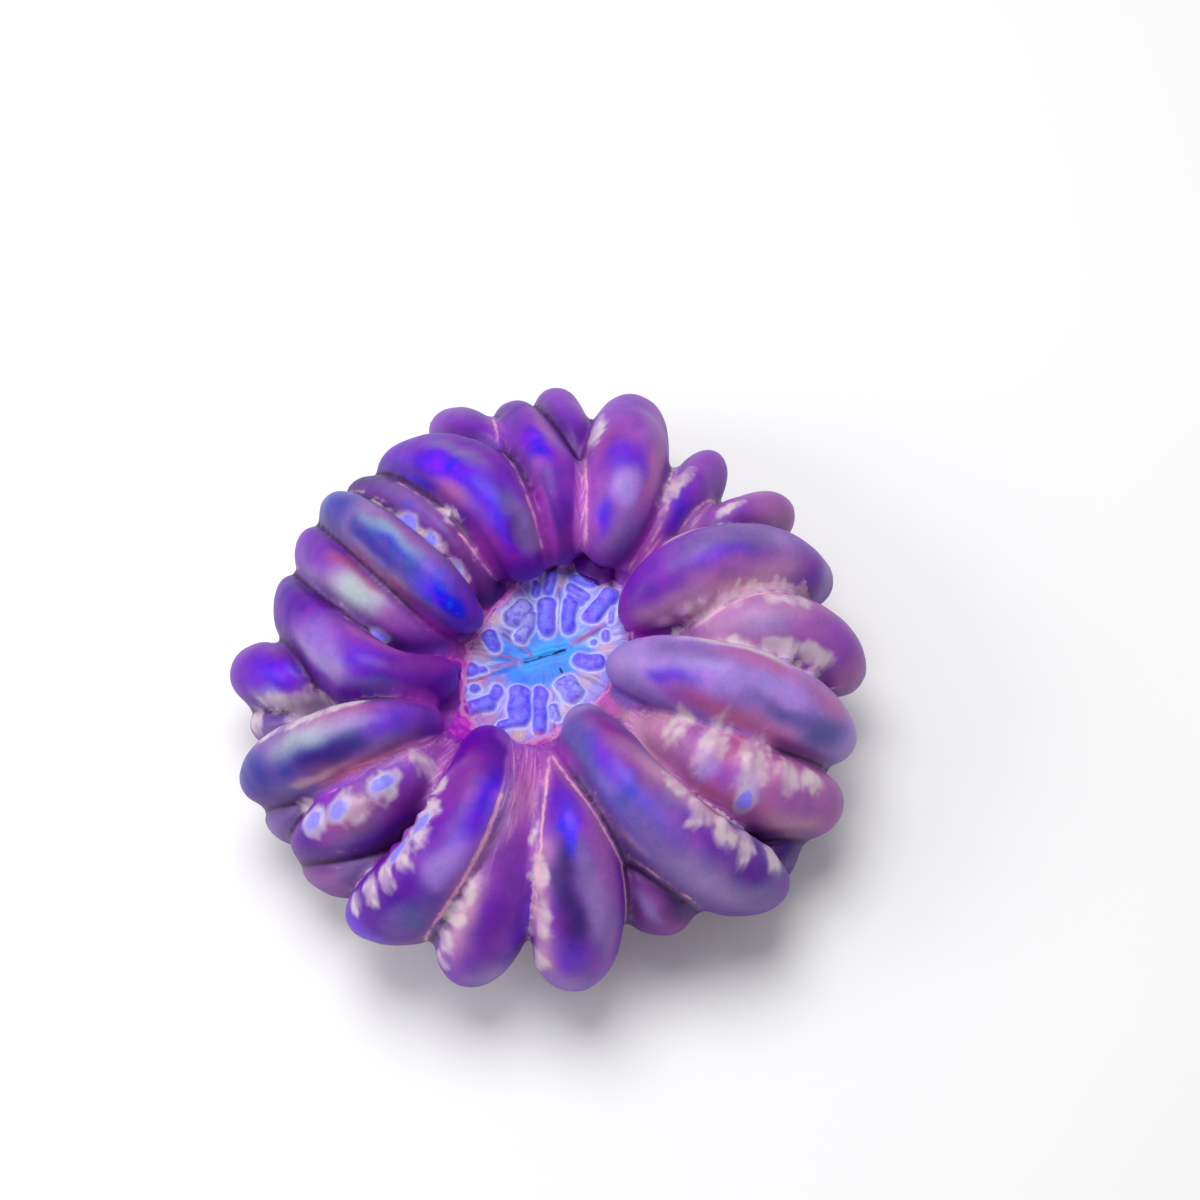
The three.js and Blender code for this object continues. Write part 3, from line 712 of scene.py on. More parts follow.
def body():
    """Drawn up from the cut face, ring by ring, and in to the oval disc."""
    bpy.ops.mesh.primitive_circle_add(
        vertices=BODY_SECTORS, radius=CUT_RADIUS * MM, fill_type="NGON"
    )
    piece = bpy.context.active_object
    start_editing(piece, "EDGE")
    bpy.ops.mesh.select_all(action="SELECT")
    was_wide, was_deep, was_high = CUT_RADIUS, CUT_RADIUS, 0
    for radius, height in BODY_SECTION[1:]:
        oval = min(max(1 - (radius - DISC_EDGE) / DISC_FADE, 0), 1) if height > RIB_TOP else 0
        wide = radius * (1 + (DISC_LONG - 1) * oval)
        deep = radius * (1 + (DISC_SHORT - 1) * oval)
        bpy.ops.mesh.extrude_edges_move(
            TRANSFORM_OT_translate={"value": (0, 0, (height - was_high) * MM)}
        )
        bpy.ops.transform.resize(
            value=(wide / was_wide, deep / was_deep, 1), center_override=(0, 0, 0)
        )
        was_wide, was_deep, was_high = wide, deep, height
    bpy.ops.mesh.edge_face_add()
    bpy.ops.mesh.select_all(action="SELECT")
    bpy.ops.mesh.normals_make_consistent(inside=False)
    stop_editing()
    piece.rotation_euler.z = math.radians(DISC_TURN)
    bpy.ops.object.transform_apply(location=True, rotation=True, scale=True)
    return piece


class Arch:
    """A lobe's surface in numbers: where its skin is, and where a point lies on it."""

    def __init__(self, inner, crest, outer, wide, high, flare):
        self.inner, self.outer = np.array(inner, float), np.array(outer, float)
        self.pull = 2 * np.array(crest, float) - (self.inner + self.outer) / 2
        self.wide, self.high, self.flare = wide, high, flare

    def frame(self, share):
        share = np.asarray(share, float)[..., None]
        place = (
            (1 - share) ** 2 * self.inner
            + 2 * share * (1 - share) * self.pull
            + share**2 * self.outer
        )
        forward = (1 - share) * (self.pull - self.inner) + share * (self.outer - self.pull)
        forward /= np.linalg.norm(forward, axis=-1, keepdims=True)
        side = np.cross(forward, (0, 0, 1))
        side /= np.linalg.norm(side, axis=-1, keepdims=True)
        return place, forward, side, np.cross(side, forward)

    def fullness(self, share):
        along = 2 * share - 1
        round_end = np.clip(1 - np.abs(along) ** LOBE_ROUNDNESS, 0, 1) ** (1 / LOBE_ROUNDNESS)
        return round_end * (1 + self.flare * along)

    def skin(self, share, degrees):
        place, _, side, up = self.frame(share)
        turn = math.radians(degrees)
        high = self.high * (LOBE_ROOT if math.sin(turn) < 0 else 1)
        reach = side * self.wide * math.cos(turn) + up * high * math.sin(turn)
        return place + reach * self.fullness(share)

    def measure(self, points):
        """For each point: its height off the skin, its share of the length, and its angle in degrees."""
        shares = np.linspace(0, 1, 41)
        places = self.frame(shares)[0]
        far = ((points[:, None, :] - places[None]) ** 2).sum(-1)
        share = shares[far.argmin(1)]
        for _ in range(2):
            place, forward, side, up = self.frame(share)
            ahead = ((points - place) * forward).sum(-1)
            share = np.clip(share + ahead / self.length(), 0, 1)
        place, forward, side, up = self.frame(share)
        off = points - place
        right = (off * side).sum(-1) / self.wide
        above = (off * up).sum(-1)
        above = np.where(above < 0, above / (self.high * LOBE_ROOT), above / self.high)
        past = (off * forward).sum(-1)
        gap = (np.hypot(right, above) - self.fullness(share)) * (self.wide + self.high) / 2
        gap = np.where(np.abs(past) > 0.3, np.hypot(gap, past), gap)
        return gap, share, np.degrees(np.arctan2(above, right))

    def length(self):
        return np.linalg.norm(self.pull - self.inner) + np.linalg.norm(self.outer - self.pull)


ARCHES = {name: Arch(*sizes) for name, sizes in LOBES.items()}
LOBE_NAMES = list(LOBES)


def tooth(arch, share, degrees, size):
    """An egg-shaped knuckle, sunk in a lobe's skin."""
    middle, _, side, _ = arch.frame(share)
    skin = arch.skin(share, degrees)
    inward = (middle - skin) / np.linalg.norm(middle - skin)
    bpy.ops.mesh.primitive_uv_sphere_add(
        segments=20,
        ring_count=12,
        radius=MM,
        location=Vector(skin + inward * size * TOOTH_SUNK) * MM,
        rotation=(0, 0, math.atan2(side[1], side[0])),
        scale=(size * TOOTH_ACROSS, size * TOOTH_ALONG, size),
    )
    bpy.ops.object.transform_apply(location=True, rotation=True, scale=True)
    return bpy.context.active_object


def teeth():
    return [
        tooth(ARCHES[name], share, degrees, size)
        for name, first, last, count, degrees, size in TOOTH_ROWS
        for share in np.linspace(first, last, count)
    ]


def grow_together(pieces, name):
    """Joins overlapping closed pieces into one skin."""
    bpy.ops.object.select_all(action="DESELECT")
    for piece in pieces:
        piece.select_set(True)
    bpy.context.view_layer.objects.active = pieces[0]
    bpy.ops.object.join()
    whole = bpy.context.active_object
    whole.name = whole.data.name = name
    finish_with(whole, "REMESH", mode="VOXEL", voxel_size=SKIN_GRAIN * MM)
    finish_with(whole, "SMOOTH", factor=0.5, iterations=2)
    return whole


def disc_reach(points):
    """0 at the middle of the oral disc, and 1 at its edge."""
    turn = math.radians(DISC_TURN)
    x, y = points[:, 0], points[:, 1]
    along = x * math.cos(turn) + y * math.sin(turn)
    across = y * math.cos(turn) - x * math.sin(turn)
    return np.hypot(along / (DISC_EDGE * DISC_LONG), across / (DISC_EDGE * DISC_SHORT))


def on_disc(points, out_to, up_to):
    high_enough = (points[:, 2] > DISC_LOWEST) & (points[:, 2] < up_to)
    return (disc_reach(points) < out_to) & high_enough


def refine_disc(piece):
    """Divides the faces of the oral disc, so that its knobs come out sharp."""
    mesh = start_editing(piece, "FACE")
    middles = np.array([f.calc_center_median() for f in mesh.faces]) / MM
    for face, chosen in zip(mesh.faces, on_disc(middles, 1.05, DISC_HEIGHT + 2.5)):
        face.select = bool(chosen)
    mesh.select_flush_mode()
    bpy.ops.mesh.subdivide(number_cuts=DISC_CUTS, smoothness=0, quadcorner="INNERVERT")
    stop_editing()


def to_line(points, start, end):
    """For each point: its distance on the level from a straight line, and the share along it."""
    start, end = np.array(start, float), np.array(end, float)
    way = end - start
    share = np.clip(((points[:, :2] - start) @ way) / (way @ way), 0, 1)
    return np.linalg.norm(points[:, :2] - start - share[:, None] * way, axis=1), share


def sculpt_disc(points):
    """Raises the knobs and folds, opens the mouth, and gives each vertex's distance from a knob's edge."""
    chosen = on_disc(points, 1.2, DISC_HEIGHT + 3)
    near = points[chosen]
    wavy = waved(near, 4, 1, 0.2)
    edge = np.full(len(near), 2.0)
    rise = np.zeros(len(near))
    for start, end, wide, _ in KNOBS:
        own = to_line(wavy, start, end)[0] / wide
        edge = np.minimum(edge, (own - 1) * wide)
        high = KNOB_HIGH * min(wide, 1.5) / 1.5
        rise = np.maximum(rise, high * np.clip(1 - np.clip(own, 0, 1) ** 2.4, 0, 1) ** 0.7)
    for start, end, wide, high in FOLDS:
        distance, share = to_line(wavy, start, end)
        fold = high * (1 - smooth_step(0, wide, distance)) * (1 - smooth_step(0.75, 1, share))
        rise = np.maximum(rise, fold)
    slit = to_line(wavy, *MOUTH_ENDS)[0]
    lips = 0.25 * np.exp(-(((slit - 0.7) / 0.5) ** 2))
    cleft = MOUTH_DEEP * (1 - smooth_step(0, MOUTH_WIDE, slit))
    sag = 0.9 * (1 - smooth_step(0, 7, slit))
    open_part = 1 - smooth_step(0.92, 1.05, disc_reach(near))
    points[chosen, 2] += (rise + lips - cleft - sag) * open_part
    everywhere = np.full(len(points), 2.0)
    everywhere[chosen] = edge
    return everywhere


def ease_creases(points, edges, survey):
    """Evens out the remeshed skin where lobes meet, so each crease runs smoothly."""
    crease = 1 - smooth_step(1.6, 3.4, survey.seam)
    for _ in range(6):
        for axis in range(3):
            moved = evened(points[:, axis], edges, 1)
            points[:, axis] += crease * (moved - points[:, axis])


def swell(points, survey, crease, web):
    """Uneven swelling of the flesh, ribs down the stony foot and a flat cut."""
    out = np.zeros_like(points)
    for row, name in enumerate(LOBE_NAMES):
        mine = survey.on(name)
        off = points[mine] - ARCHES[name].frame(survey.share[row, mine])[0]
        out[mine] = off / np.linalg.norm(off, axis=1, keepdims=True)
    inside_seam = smooth_step(0.4, 3, survey.seam)
    uneven = 0.25 * drift(points, 14, 61) + 0.05 * drift(points, 5, 62)
    points += out * (uneven * inside_seam)[:, None]
    points[:, 2] -= GROOVE_DEEP * crease * (1 - 1.3 * web)
    low = 1 - smooth_step(RIB_TOP - 1.5, RIB_TOP + 1, points[:, 2])
    turn = np.arctan2(points[:, 1], points[:, 0])
    ribs = RIB_DEPTH / CUT_RADIUS * np.cos(SEPTA * turn) * low * survey.on_body
    points[:, :2] *= 1 + ribs[:, None]
    points[points[:, 2] < 0.35, 2] = 0


# The polyp's paint


def linear(tint):
    """A tint as light rather than as the photo's numbers."""
    share = np.array(TINTS[tint]) / 255 * PAINT_LIFT
    return np.where(share < 0.04, share / 12.92, ((share + 0.055) / 1.055) ** 2.4)


def lay_on(colour, tint, strength):
    colour += (linear(tint) - colour) * strength[:, None]


def bump_share(reach):
    """1 inside, falling softly to 0 past the edge at 1."""
    return np.exp(-(reach**3))


def evened(values, edges, times):
    """The values, each evened out with its neighbours' over the mesh."""
    count = np.bincount(edges.ravel(), minlength=len(values))
    for _ in range(times):
        total = np.bincount(edges[:, 0], values[edges[:, 1]], len(values))
        total += np.bincount(edges[:, 1], values[edges[:, 0]], len(values))
        values = values / 2 + total / count / 2
    return values


class Survey:
    """Which lobe each vertex lies on, and where on it."""

    def __init__(self, points):
        count = len(points)
        self.share = np.zeros((len(LOBE_NAMES), count))
        self.degrees = np.zeros((len(LOBE_NAMES), count))
        gaps = np.full((len(LOBE_NAMES), count), 99.0)
        for row, name in enumerate(LOBE_NAMES):
            arch = ARCHES[name]
            near = np.linalg.norm(points - arch.frame(0.5)[0], axis=1) < arch.length() / 2 + 12
            gap, share, degrees = arch.measure(points[near])
            gaps[row, near], self.share[row, near], self.degrees[row, near] = gap, share, degrees
        self.gaps = gaps
        order = gaps.argsort(0)
        self.owner, self.neighbour = order[0], order[1]
        nearest = np.sort(gaps, axis=0)
        self.gap = nearest[0]
        self.seam = np.clip(nearest[1] - nearest[0], 0, 9)
        disc = (disc_reach(points) < 1.05) & (points[:, 2] > TOP_STARTS)
        self.on_body = (self.gap > 2.4) | ((self.gap > 0.9) & disc)

    def kinds(self):
        """Puts each lobe in one of three kinds, so that no two lobes that touch are of one kind."""
        close = (self.seam < 2) & (self.gap < 2)
        touching = set(zip(self.owner[close].tolist(), self.neighbour[close].tolist()))
        kinds = []
        for row in range(len(LOBE_NAMES)):
            used = {kinds[n] for n in range(row) if (row, n) in touching or (n, row) in touching}
            kinds.append(min(set(range(KIND_COUNT)) - used))
        return np.array(kinds)

    def nearest_of_each_kind(self):
        """How far off each kind's nearest lobe is. These run smoothly, so a fine dark groove line of
        painted shade can be drawn.
        """
        kinds = self.kinds()
        return [np.clip(self.gaps[kinds == n].min(0), -9, 9) for n in range(KIND_COUNT)]

    def beside(self, name, neighbour, first, last):
        """Where a vertex is on one lobe, next to the other, between two shares of the length."""
        row = LOBE_NAMES.index(name)
        there = (self.owner == row) & (self.neighbour == LOBE_NAMES.index(neighbour))
        return there & (self.share[row] > first) & (self.share[row] < last)

    def web(self):
        """1 where the nearest groove has a pale web of flesh in it."""
        webbed = np.zeros(len(self.seam))
        for one, other, last, other_last in WEBS:
            webbed[self.beside(one, other, -1, last)] = 1
            webbed[self.beside(other, one, -1, other_last)] = 1
        return webbed

    def along_groove(self, stretches):
        """Each stretch's size on its own side of its groove, and 0 elsewhere."""
        sizes = np.zeros(len(self.seam))
        for *stretch, size in stretches:
            sizes[self.beside(*stretch)] = size
        return sizes

    def on(self, name):
        row = LOBE_NAMES.index(name)
        return np.nonzero((self.owner == row) & ~self.on_body)[0]


def mark_reach(points, name, share, degrees, along, across):
    """0 at the middle of a mark on a lobe's skin, and 1 at its edge."""
    arch = ARCHES[name]
    off = points - arch.skin(share, degrees)
    ahead = off @ arch.frame(share)[1]
    beside = np.sqrt(np.clip((off**2).sum(1) - ahead**2, 0, None))
    return np.hypot(ahead / along, beside / across)


def plain_coat(tint, count):
    return np.tile(linear(tint), (count, 1))


def lay_round_dabs(part, points, dabs):
    for tint, x, y, size, strength in dabs:
        far = np.hypot(points[:, 0] - x, points[:, 1] - y) / size
        lay_on(part, tint, strength * bump_share(far))


def lobe_coat(name, points, degrees, share):
    """A lobe's own tint, with painted shade down its sides, under it and toward its outer end, and its
    dabs on it.
    """
    own, dabs = COATS[name]
    part = plain_coat(own, len(points))
    slope = np.abs(degrees - 90)
    # Painted shade: deep violet down the sides, plum underneath and deep violet toward the outer end.
    lay_on(part, "deep_violet", 0.55 * smooth_step(48, 100, slope))
    lay_on(part, "deep_violet", 0.4 * smooth_step(0.86, 1, share))
    lay_on(part, "plum", 0.7 * smooth_step(110, 160, slope))
    for tint, *mark, strength in dabs:
        lay_on(part, tint, strength * bump_share(mark_reach(points, name, *mark)))
    return part


def disc_coat(points, knob_edge):
    """Blue round the mouth and paler outside, with the folds and the knobs."""
    part = plain_coat("sea", len(points))
    slit = to_line(points, *MOUTH_ENDS)[0]
    lay_on(part, "web", 0.9 * smooth_step(3.4, 7, slit))
    lay_on(part, "bright_sea", 0.7 * (1 - smooth_step(0.5, 3, slit)))
    lay_round_dabs(part, points, DISC_DABS)
    for start, end, wide, _ in FOLDS:
        distance, share = to_line(points, start, end)
        lay_on(part, "rose", 0.75 * (1 - smooth_step(0.1, wide * 0.8, distance)) * (share < 1))
    lay_on(part, "knob", np.where(knob_edge < 0.1, 0.95, 0))
    for start, end, wide, cloudy in KNOBS:
        if cloudy:
            lay_on(part, "knob_cloud", np.where(to_line(points, start, end)[0] < 1.08 * wide, 0.9, 0))
    return part


def paint_flesh(points, survey, knob_edge):
    """The flesh's colour at every vertex, with how stony it is as the fourth number."""
    wavy = waved(points, 6, 11, 0.5)
    colour = plain_coat("plum", len(points))
    for row, name in enumerate(LOBE_NAMES):
        mine = survey.on(name)
        colour[mine] = lobe_coat(
            name, wavy[mine], survey.degrees[row, mine], survey.share[row, mine]
        )
    oral = disc_reach(points)
    on_top = survey.on_body & (points[:, 2] > TOP_STARTS)
    ring = on_top & (oral < 2.2)
    tissue = plain_coat("plum", ring.sum())
    lay_round_dabs(tissue, wavy[ring], TISSUE_DABS)
    colour[ring] = tissue
    disc = on_top & (oral < 0.99)
    colour[disc] = disc_coat(wavy[disc], knob_edge[disc])
    edge = 6.6 + 1.4 * drift(points, 14, 31)
    stony = np.where(survey.on_body, 1 - smooth_step(edge - 0.5, edge + 0.5, points[:, 2]), 0)
    return [colour, stony]


def nearness(points, marks):
    """1 at the middle of the nearest mark, 0.5 at its edge and 0 at twice its size."""
    best = np.full(len(points), 2.0)
    wavy = waved(points, 2.6, 41, 0.35)
    for name, own_marks in marks.items():
        for mark in own_marks:
            best = np.minimum(best, mark_reach(wavy, name, *mark))
    return 1 - best / 2


def keep_numbers(piece, name, *numbers):
    """Keeps up to four numbers for every vertex, for the finish to read."""
    numbers = np.column_stack(numbers)
    numbers = np.column_stack([numbers, np.ones((len(numbers), 4 - numbers.shape[1]))])
    kept = piece.data.attributes.new(name, "FLOAT_COLOR", "POINT")
    kept.data.foreach_set("color", numbers.astype(np.float32).ravel())


def keep_lobe_run(piece, survey):
    """A map that runs along each lobe one way and round it the other, in millimetres."""
    mesh = piece.data
    corners = read_all(mesh.loops, "vertex_index", int)
    sizes = read_all(mesh.polygons, "loop_total", int)
    starts = read_all(mesh.polygons, "loop_start", int)
    owner = np.repeat(survey.owner[corners[starts]], sizes)
    length = np.array([ARCHES[name].length() for name in LOBE_NAMES])[owner]
    wide = np.array([ARCHES[name].wide for name in LOBE_NAMES])[owner]
    along = survey.share[owner, corners] * length
    round_it = np.radians(survey.degrees[owner, corners]) * wide
    run = mesh.uv_layers.new(name="lobe_run")
    run.data.foreach_set("uv", np.column_stack([along, round_it]).astype(np.float32).ravel())


# The polyp's finish


class Wire:
    """One output in a material's tree, which adds and multiplies like a number."""

    def __init__(self, tree, socket=None):
        self.tree, self.socket = tree, socket

    def node(self, kind, settings, inputs, output=0):
        """Adds a node: its settings first, then a value or a link for each input."""
        made = self.tree.nodes.new("ShaderNode" + kind)
        for key, value in settings.items():
            setattr(made, key, value)
        for key, value in inputs.items():
            if isinstance(value, Wire):
                self.tree.links.new(value.socket, made.inputs[key])
            else:
                made.inputs[key].default_value = value
        return Wire(self.tree, made.outputs[output])

    def maths(self, kind, *values):
        return self.node("Math", {"operation": kind}, dict(enumerate(values)))

    def __add__(self, other):
        return self.maths("ADD", self, other)

    def __radd__(self, other):
        return self.maths("ADD", other, self)

    def __sub__(self, other):
        return self.maths("SUBTRACT", self, other)

    def __rsub__(self, other):
        return self.maths("SUBTRACT", other, self)

    def __mul__(self, other):
        return self.maths("MULTIPLY", self, other)

    def __rmul__(self, other):
        return self.maths("MULTIPLY", other, self)

    def least(self, other):
        return self.maths("MINIMUM", self, other)

    def most(self, other):
        return self.maths("MAXIMUM", self, other)

    def step(self, low, high):
        """0 below low and 1 above high, smooth between; the other way round where low is the larger."""
        ends = {"From Min": min(low, high), "From Max": max(low, high)}
        if low > high:
            ends["To Min"], ends["To Max"] = 1.0, 0.0
        kind = {"interpolation_type": "SMOOTHSTEP"}
        return self.node("MapRange", kind, {"Value": self, **ends})

    def kept(self, name, output="Vector"):
        """The numbers that the mesh keeps under a name."""
        return self.node("Attribute", {"attribute_name": name}, {}, output)

    def parts(self):
        return [self.node("SeparateXYZ", {}, {"Vector": self}, n) for n in range(3)]

    def mix(self, share, other):
        """This colour blended with another one, or with a named tint."""
        other = paint(other) if isinstance(other, str) else other
        return self.node("Mix", {"data_type": "RGBA"}, {0: share, 6: self, 7: other}, 2)

    def vector(self, kind, *others, output="Vector"):
        inputs = dict(enumerate((self, *others)))
        return self.node("VectorMath", {"operation": kind}, inputs, output)

    def stretched(self, x, y, z):
        return self.vector("MULTIPLY", (x, y, z))

    def clouds(self, scale, detail=2.0, rough=0.5):
        inputs = {"Vector": self, "Scale": scale, "Detail": detail, "Roughness": rough}
        return self.node("TexNoise", {}, inputs)


def paint(tint):
    return (*linear(tint), 1)


def off_line(x, y, start, end):
    """Distance in millimetres from a straight line between two points given in millimetres."""
    wide, deep = end[0] - start[0], end[1] - start[1]
    length = math.hypot(wide, deep)
    x = x * (1 / MM) - (start[0] + MIDDLE_SHIFT[0])
    y = y * (1 / MM) - (start[1] + MIDDLE_SHIFT[1])
    along = (x * wide + y * deep) * (1 / length)
    across = (y * wide - x * deep) * (1 / length)
    past = (0 - along).most(along - length).most(0)
    return x.maths("SQRT", across * across + past * past)


class Ground:
    """What every layer of the paint reads: places, the numbers kept on the mesh, and soft noises."""

    def __init__(self, start):
        self.place = start.node("TexCoord", {}, {}, "Object")
        self.x, self.y, self.z = self.place.parts()
        self.flesh = start.kept("flesh", "Color")
        self.stony = start.kept("flesh", "Alpha")
        self.pale, self.spot, self.edge = start.kept("marks").parts()
        self.fringe = start.kept("marks", "Alpha")
        self.web, self.reach, self.seam = start.kept("folds").parts()
        self.oral, knob, _ = start.kept("oral").parts()
        # The second nearest lobe is as near as the nearest in the middle of a groove
        a, b, c = start.kept("kinds").parts()
        nearest = a.least(b).least(c)
        self.split = a.least(b).most(a.most(b).least(c)) - nearest
        self.in_groove = nearest.step(2.2, 1.2)
        self.on_disc = self.oral.step(0.985, 0.965)
        self.broad = self.place.clouds(260, 3)
        self.fine = self.place.clouds(1100, 3, 0.6)
        self.grain = self.place.clouds(3600, 2)
        self.swirl = self.place.clouds(420, 4, 0.6)
        run = start.node("UVMap", {"uv_map": "lobe_run"}, {})
        self.streaks = run.stretched(1.5, 0.22, 1).clouds(1, 3, 0.6)
        self.fingers = run.stretched(0.5, 0.3, 1).clouds(1, 1)
        self.strands = run.stretched(0.1, 1.3, 1).clouds(1, 3, 0.6)
        self.knob = knob + (self.swirl - 0.5) * 0.16
        self.pits = self.place.clouds(900, 3, 0.65)


def cloudy_flesh(g):
    """The kept colour, with soft cloudiness and fine cross streaks."""
    value = 1 + (g.broad - 0.5) * 0.34 + (g.fine - 0.5) * 0.3 + (g.grain - 0.5) * 0.18
    value = value + (g.streaks - 0.5) * 0.12 * g.seam.step(1, 2.5) * (1 - g.on_disc)
    hue = 0.5 + (g.broad - 0.5) * 0.05 + (g.place.clouds(430, 2) - 0.5) * 0.05
    inputs = {"Hue": hue, "Saturation": 1.06, "Value": value, "Color": g.flesh}
    return g.flesh.node("HueSaturation", {}, inputs)


def with_grooves(colour, g):
    """Painted shade of a darker rim where a lobe turns down into a groove and of a dark line in the
    groove, and a stringy web where a groove has one.
    """
    # Painted shade: a deep violet rim where a lobe turns down toward a groove.
    rim_shade = g.seam.step(3.6, 1.2) * (1 - g.web)
    colour = colour.mix(rim_shade * (0.55 - g.edge * 0.45), "shade_violet")
    # Painted shade: a thin dark line along the middle of a groove.
    line = (g.split + (g.fine - 0.5) * 0.5).step(1, 0.1) * g.in_groove
    colour = colour.mix(line * (1 - g.web) * 0.9, "groove")
    webbed = (g.seam.step(2.9, 0.8) + (g.broad - 0.5) * 0.6).step(0.2, 0.9) * g.web
    colour = colour.mix(webbed * g.reach.step(2.8, 1.3) * 0.35, "blush")
    colour = colour.mix(g.reach.step(2, 1.4) * g.seam.step(2.6, 1.3) * 0.55, "magenta")
    strong = 0.06 + g.reach.step(2.8, 1.4) * 0.4
    colour = colour.mix(g.strands.step(0.5, 0.64) * webbed * strong, "thread")
    return colour.mix(g.strands.step(0.46, 0.34) * webbed * 0.5, "dark_magenta")


def with_skeleton(colour, g):
    """The skeleton's edge, pale through the flesh, and the blue spots on it."""
    ragged = g.pale + (g.fine - 0.5) * 0.14 + (g.fingers - 0.5) * 0.5
    fringed = g.fringe - g.split + (g.fingers - 0.5) * 5 + (g.fine - 0.5) * 1.2
    fringed = fringed.step(0, 1) * g.fringe.step(0.2, 0.8) * 0.9
    bone = g.flesh.mix(0.62, (0.66, 0.46, 0.61, 1))
    paler = (g.broad + (g.fingers - 0.5) * 0.8).step(0.4, 0.62)
    bone = bone.mix(paler * 0.75, "pale")
    colour = colour.mix(ragged.step(0.28, 0.7).most(fringed) * 0.85, bone)
    colour = colour.mix(g.spot.step(0.05, 0.42) * 0.5, "halo")
    return colour.mix((g.spot + (g.fine - 0.5) * 0.3).step(0.4, 0.58) * 0.9, "knob")


def with_threads(colour, g):
    """Thin bright threads of flesh beside some grooves, partly the flesh's own pale edge and partly
    painted rim light.
    """
    off = g.split.maths("ABSOLUTE", g.split + ((g.fine - 0.5) * 0.8 - EDGE_OFF))
    # A soft blush round each thread, then the thread itself, both partly painted rim light.
    colour = colour.mix(off.step(2, 0) * g.edge * g.in_groove * 0.2, "blush")
    broken = (g.edge + (g.fingers - 0.5) * 1.4 + (g.broad - 0.5) * 1.2).step(0.2, 1.1)
    return colour.mix(off.step(0.5, 0.05) * broken * g.in_groove * 0.8, "thread")


def with_swirls(colour, g):
    """Bright pink and dark magenta swirls of noise in the flesh round the disc."""
    ring = g.oral.step(0.97, 1.02) * g.oral.step(2, 1.6)
    colour = colour.mix(g.swirl.step(0.5, 0.64) * ring * 0.45, "hot_pink")
    return colour.mix(g.swirl.step(0.46, 0.34) * ring * 0.7, "dark_magenta")


def with_disc(colour, g):
    """The oral disc: fine rays, the knobs' mottling and bright outlines, the shore, and the mouth's slit
    in painted shade.
    """
    outside = g.knob.step(0.5, 0.55) * g.on_disc
    mottle = g.place.clouds(520, 4, 0.6).step(0.46, 0.58)
    colour = colour.mix(mottle * outside * 0.3, "sea")
    middle = (Vector(RAYS_FROM) + Vector(MIDDLE_SHIFT)) * MM
    level = g.place.vector("SUBTRACT", tuple(middle)).stretched(1, 1, 0)
    far = level.vector("LENGTH", output="Value")
    ray_x, ray_y, _ = level.vector("NORMALIZE").parts()
    spread = g.x.node("CombineXYZ", {}, {"X": ray_x * 7, "Y": ray_y * 7, "Z": far * 120})
    rays = spread.clouds(1.6, 3, 0.6)
    colour = colour.mix(rays.step(0.43, 0.36) * far.step(0.0012, 0.003) * outside * 0.5, "slate")
    colour = colour.mix(rays.step(0.56, 0.62) * far.step(0.006, 0.009) * outside * 0.5, "outline")

    blotch = g.place.clouds(900, 2).step(0.46, 0.6)
    inside = g.knob.step(0.5, 0.36) * g.on_disc
    colour = colour.mix(inside * (0.06 + 0.5 * blotch), "ultramarine")
    glow = g.knob.step(0.4, 0.5) * g.knob.step(0.68, 0.52) * g.on_disc
    colour = colour.mix(glow * 0.38, "outline")
    outline = g.knob.step(0.48, 0.51) * g.knob.step(0.57, 0.53) * g.on_disc
    colour = colour.mix(outline * (0.25 + g.swirl.step(0.4, 0.6) * 0.5), "outline")

    shore = g.oral + (g.swirl - 0.5) * 0.4
    colour = colour.mix(shore.step(0.9, 1) * g.oral.step(1.08, 1) * 0.6, "magenta")
    brink = shore.step(0.96, 1) * shore.step(1.08, 1.02) * g.oral.step(1.2, 1.1)
    colour = colour.mix(brink * 0.4, "thread")

    # The mouth's slit is painted near black as painted shade in the opening, and the dark speck beside it
    # takes the same tint.
    waver = (g.place.clouds(900, 1) - 0.5) * 0.0006
    slit = off_line(g.x, g.y + waver, *MOUTH_ENDS).step(0.24, 0.1)
    speck = off_line(g.x, g.y, *DARK_SPECK).step(0.26, 0.12)
    return colour.mix(slit.most(speck) * g.on_disc * 0.92, (0.008, 0.004, 0.06, 1))


def with_stone(colour, g):
    """The stony foot, with painted shade in its pits and the septa showing most on the cut."""
    turn = g.x.maths("ARCTAN2", g.y - MIDDLE_SHIFT[1] * MM, g.x)
    across = g.place.stretched(1, 1, 0).vector("LENGTH", output="Value")
    septa = g.x.maths("COSINE", turn * SEPTA).step(-0.2, 0.5) * across.step(0.004, 0.007)
    septa = septa * (0.35 + g.z.step(0.0006, 0.0002) * 0.65)
    stone = colour.mix(1.0, (0.62, 0.54, 0.44, 1))
    # Painted shade: darker where the pits bump sinks into hollows.
    stone = stone.mix(g.pits.step(0.55, 0.38) * 0.5, (0.3, 0.23, 0.19, 1))
    stone = stone.mix(septa * 0.6, (0.85, 0.8, 0.72, 1))
    stone = stone.mix(g.broad.step(0.5, 0.7) * 0.3, (0.42, 0.3, 0.4, 1))
    return colour.mix(g.stony, stone)


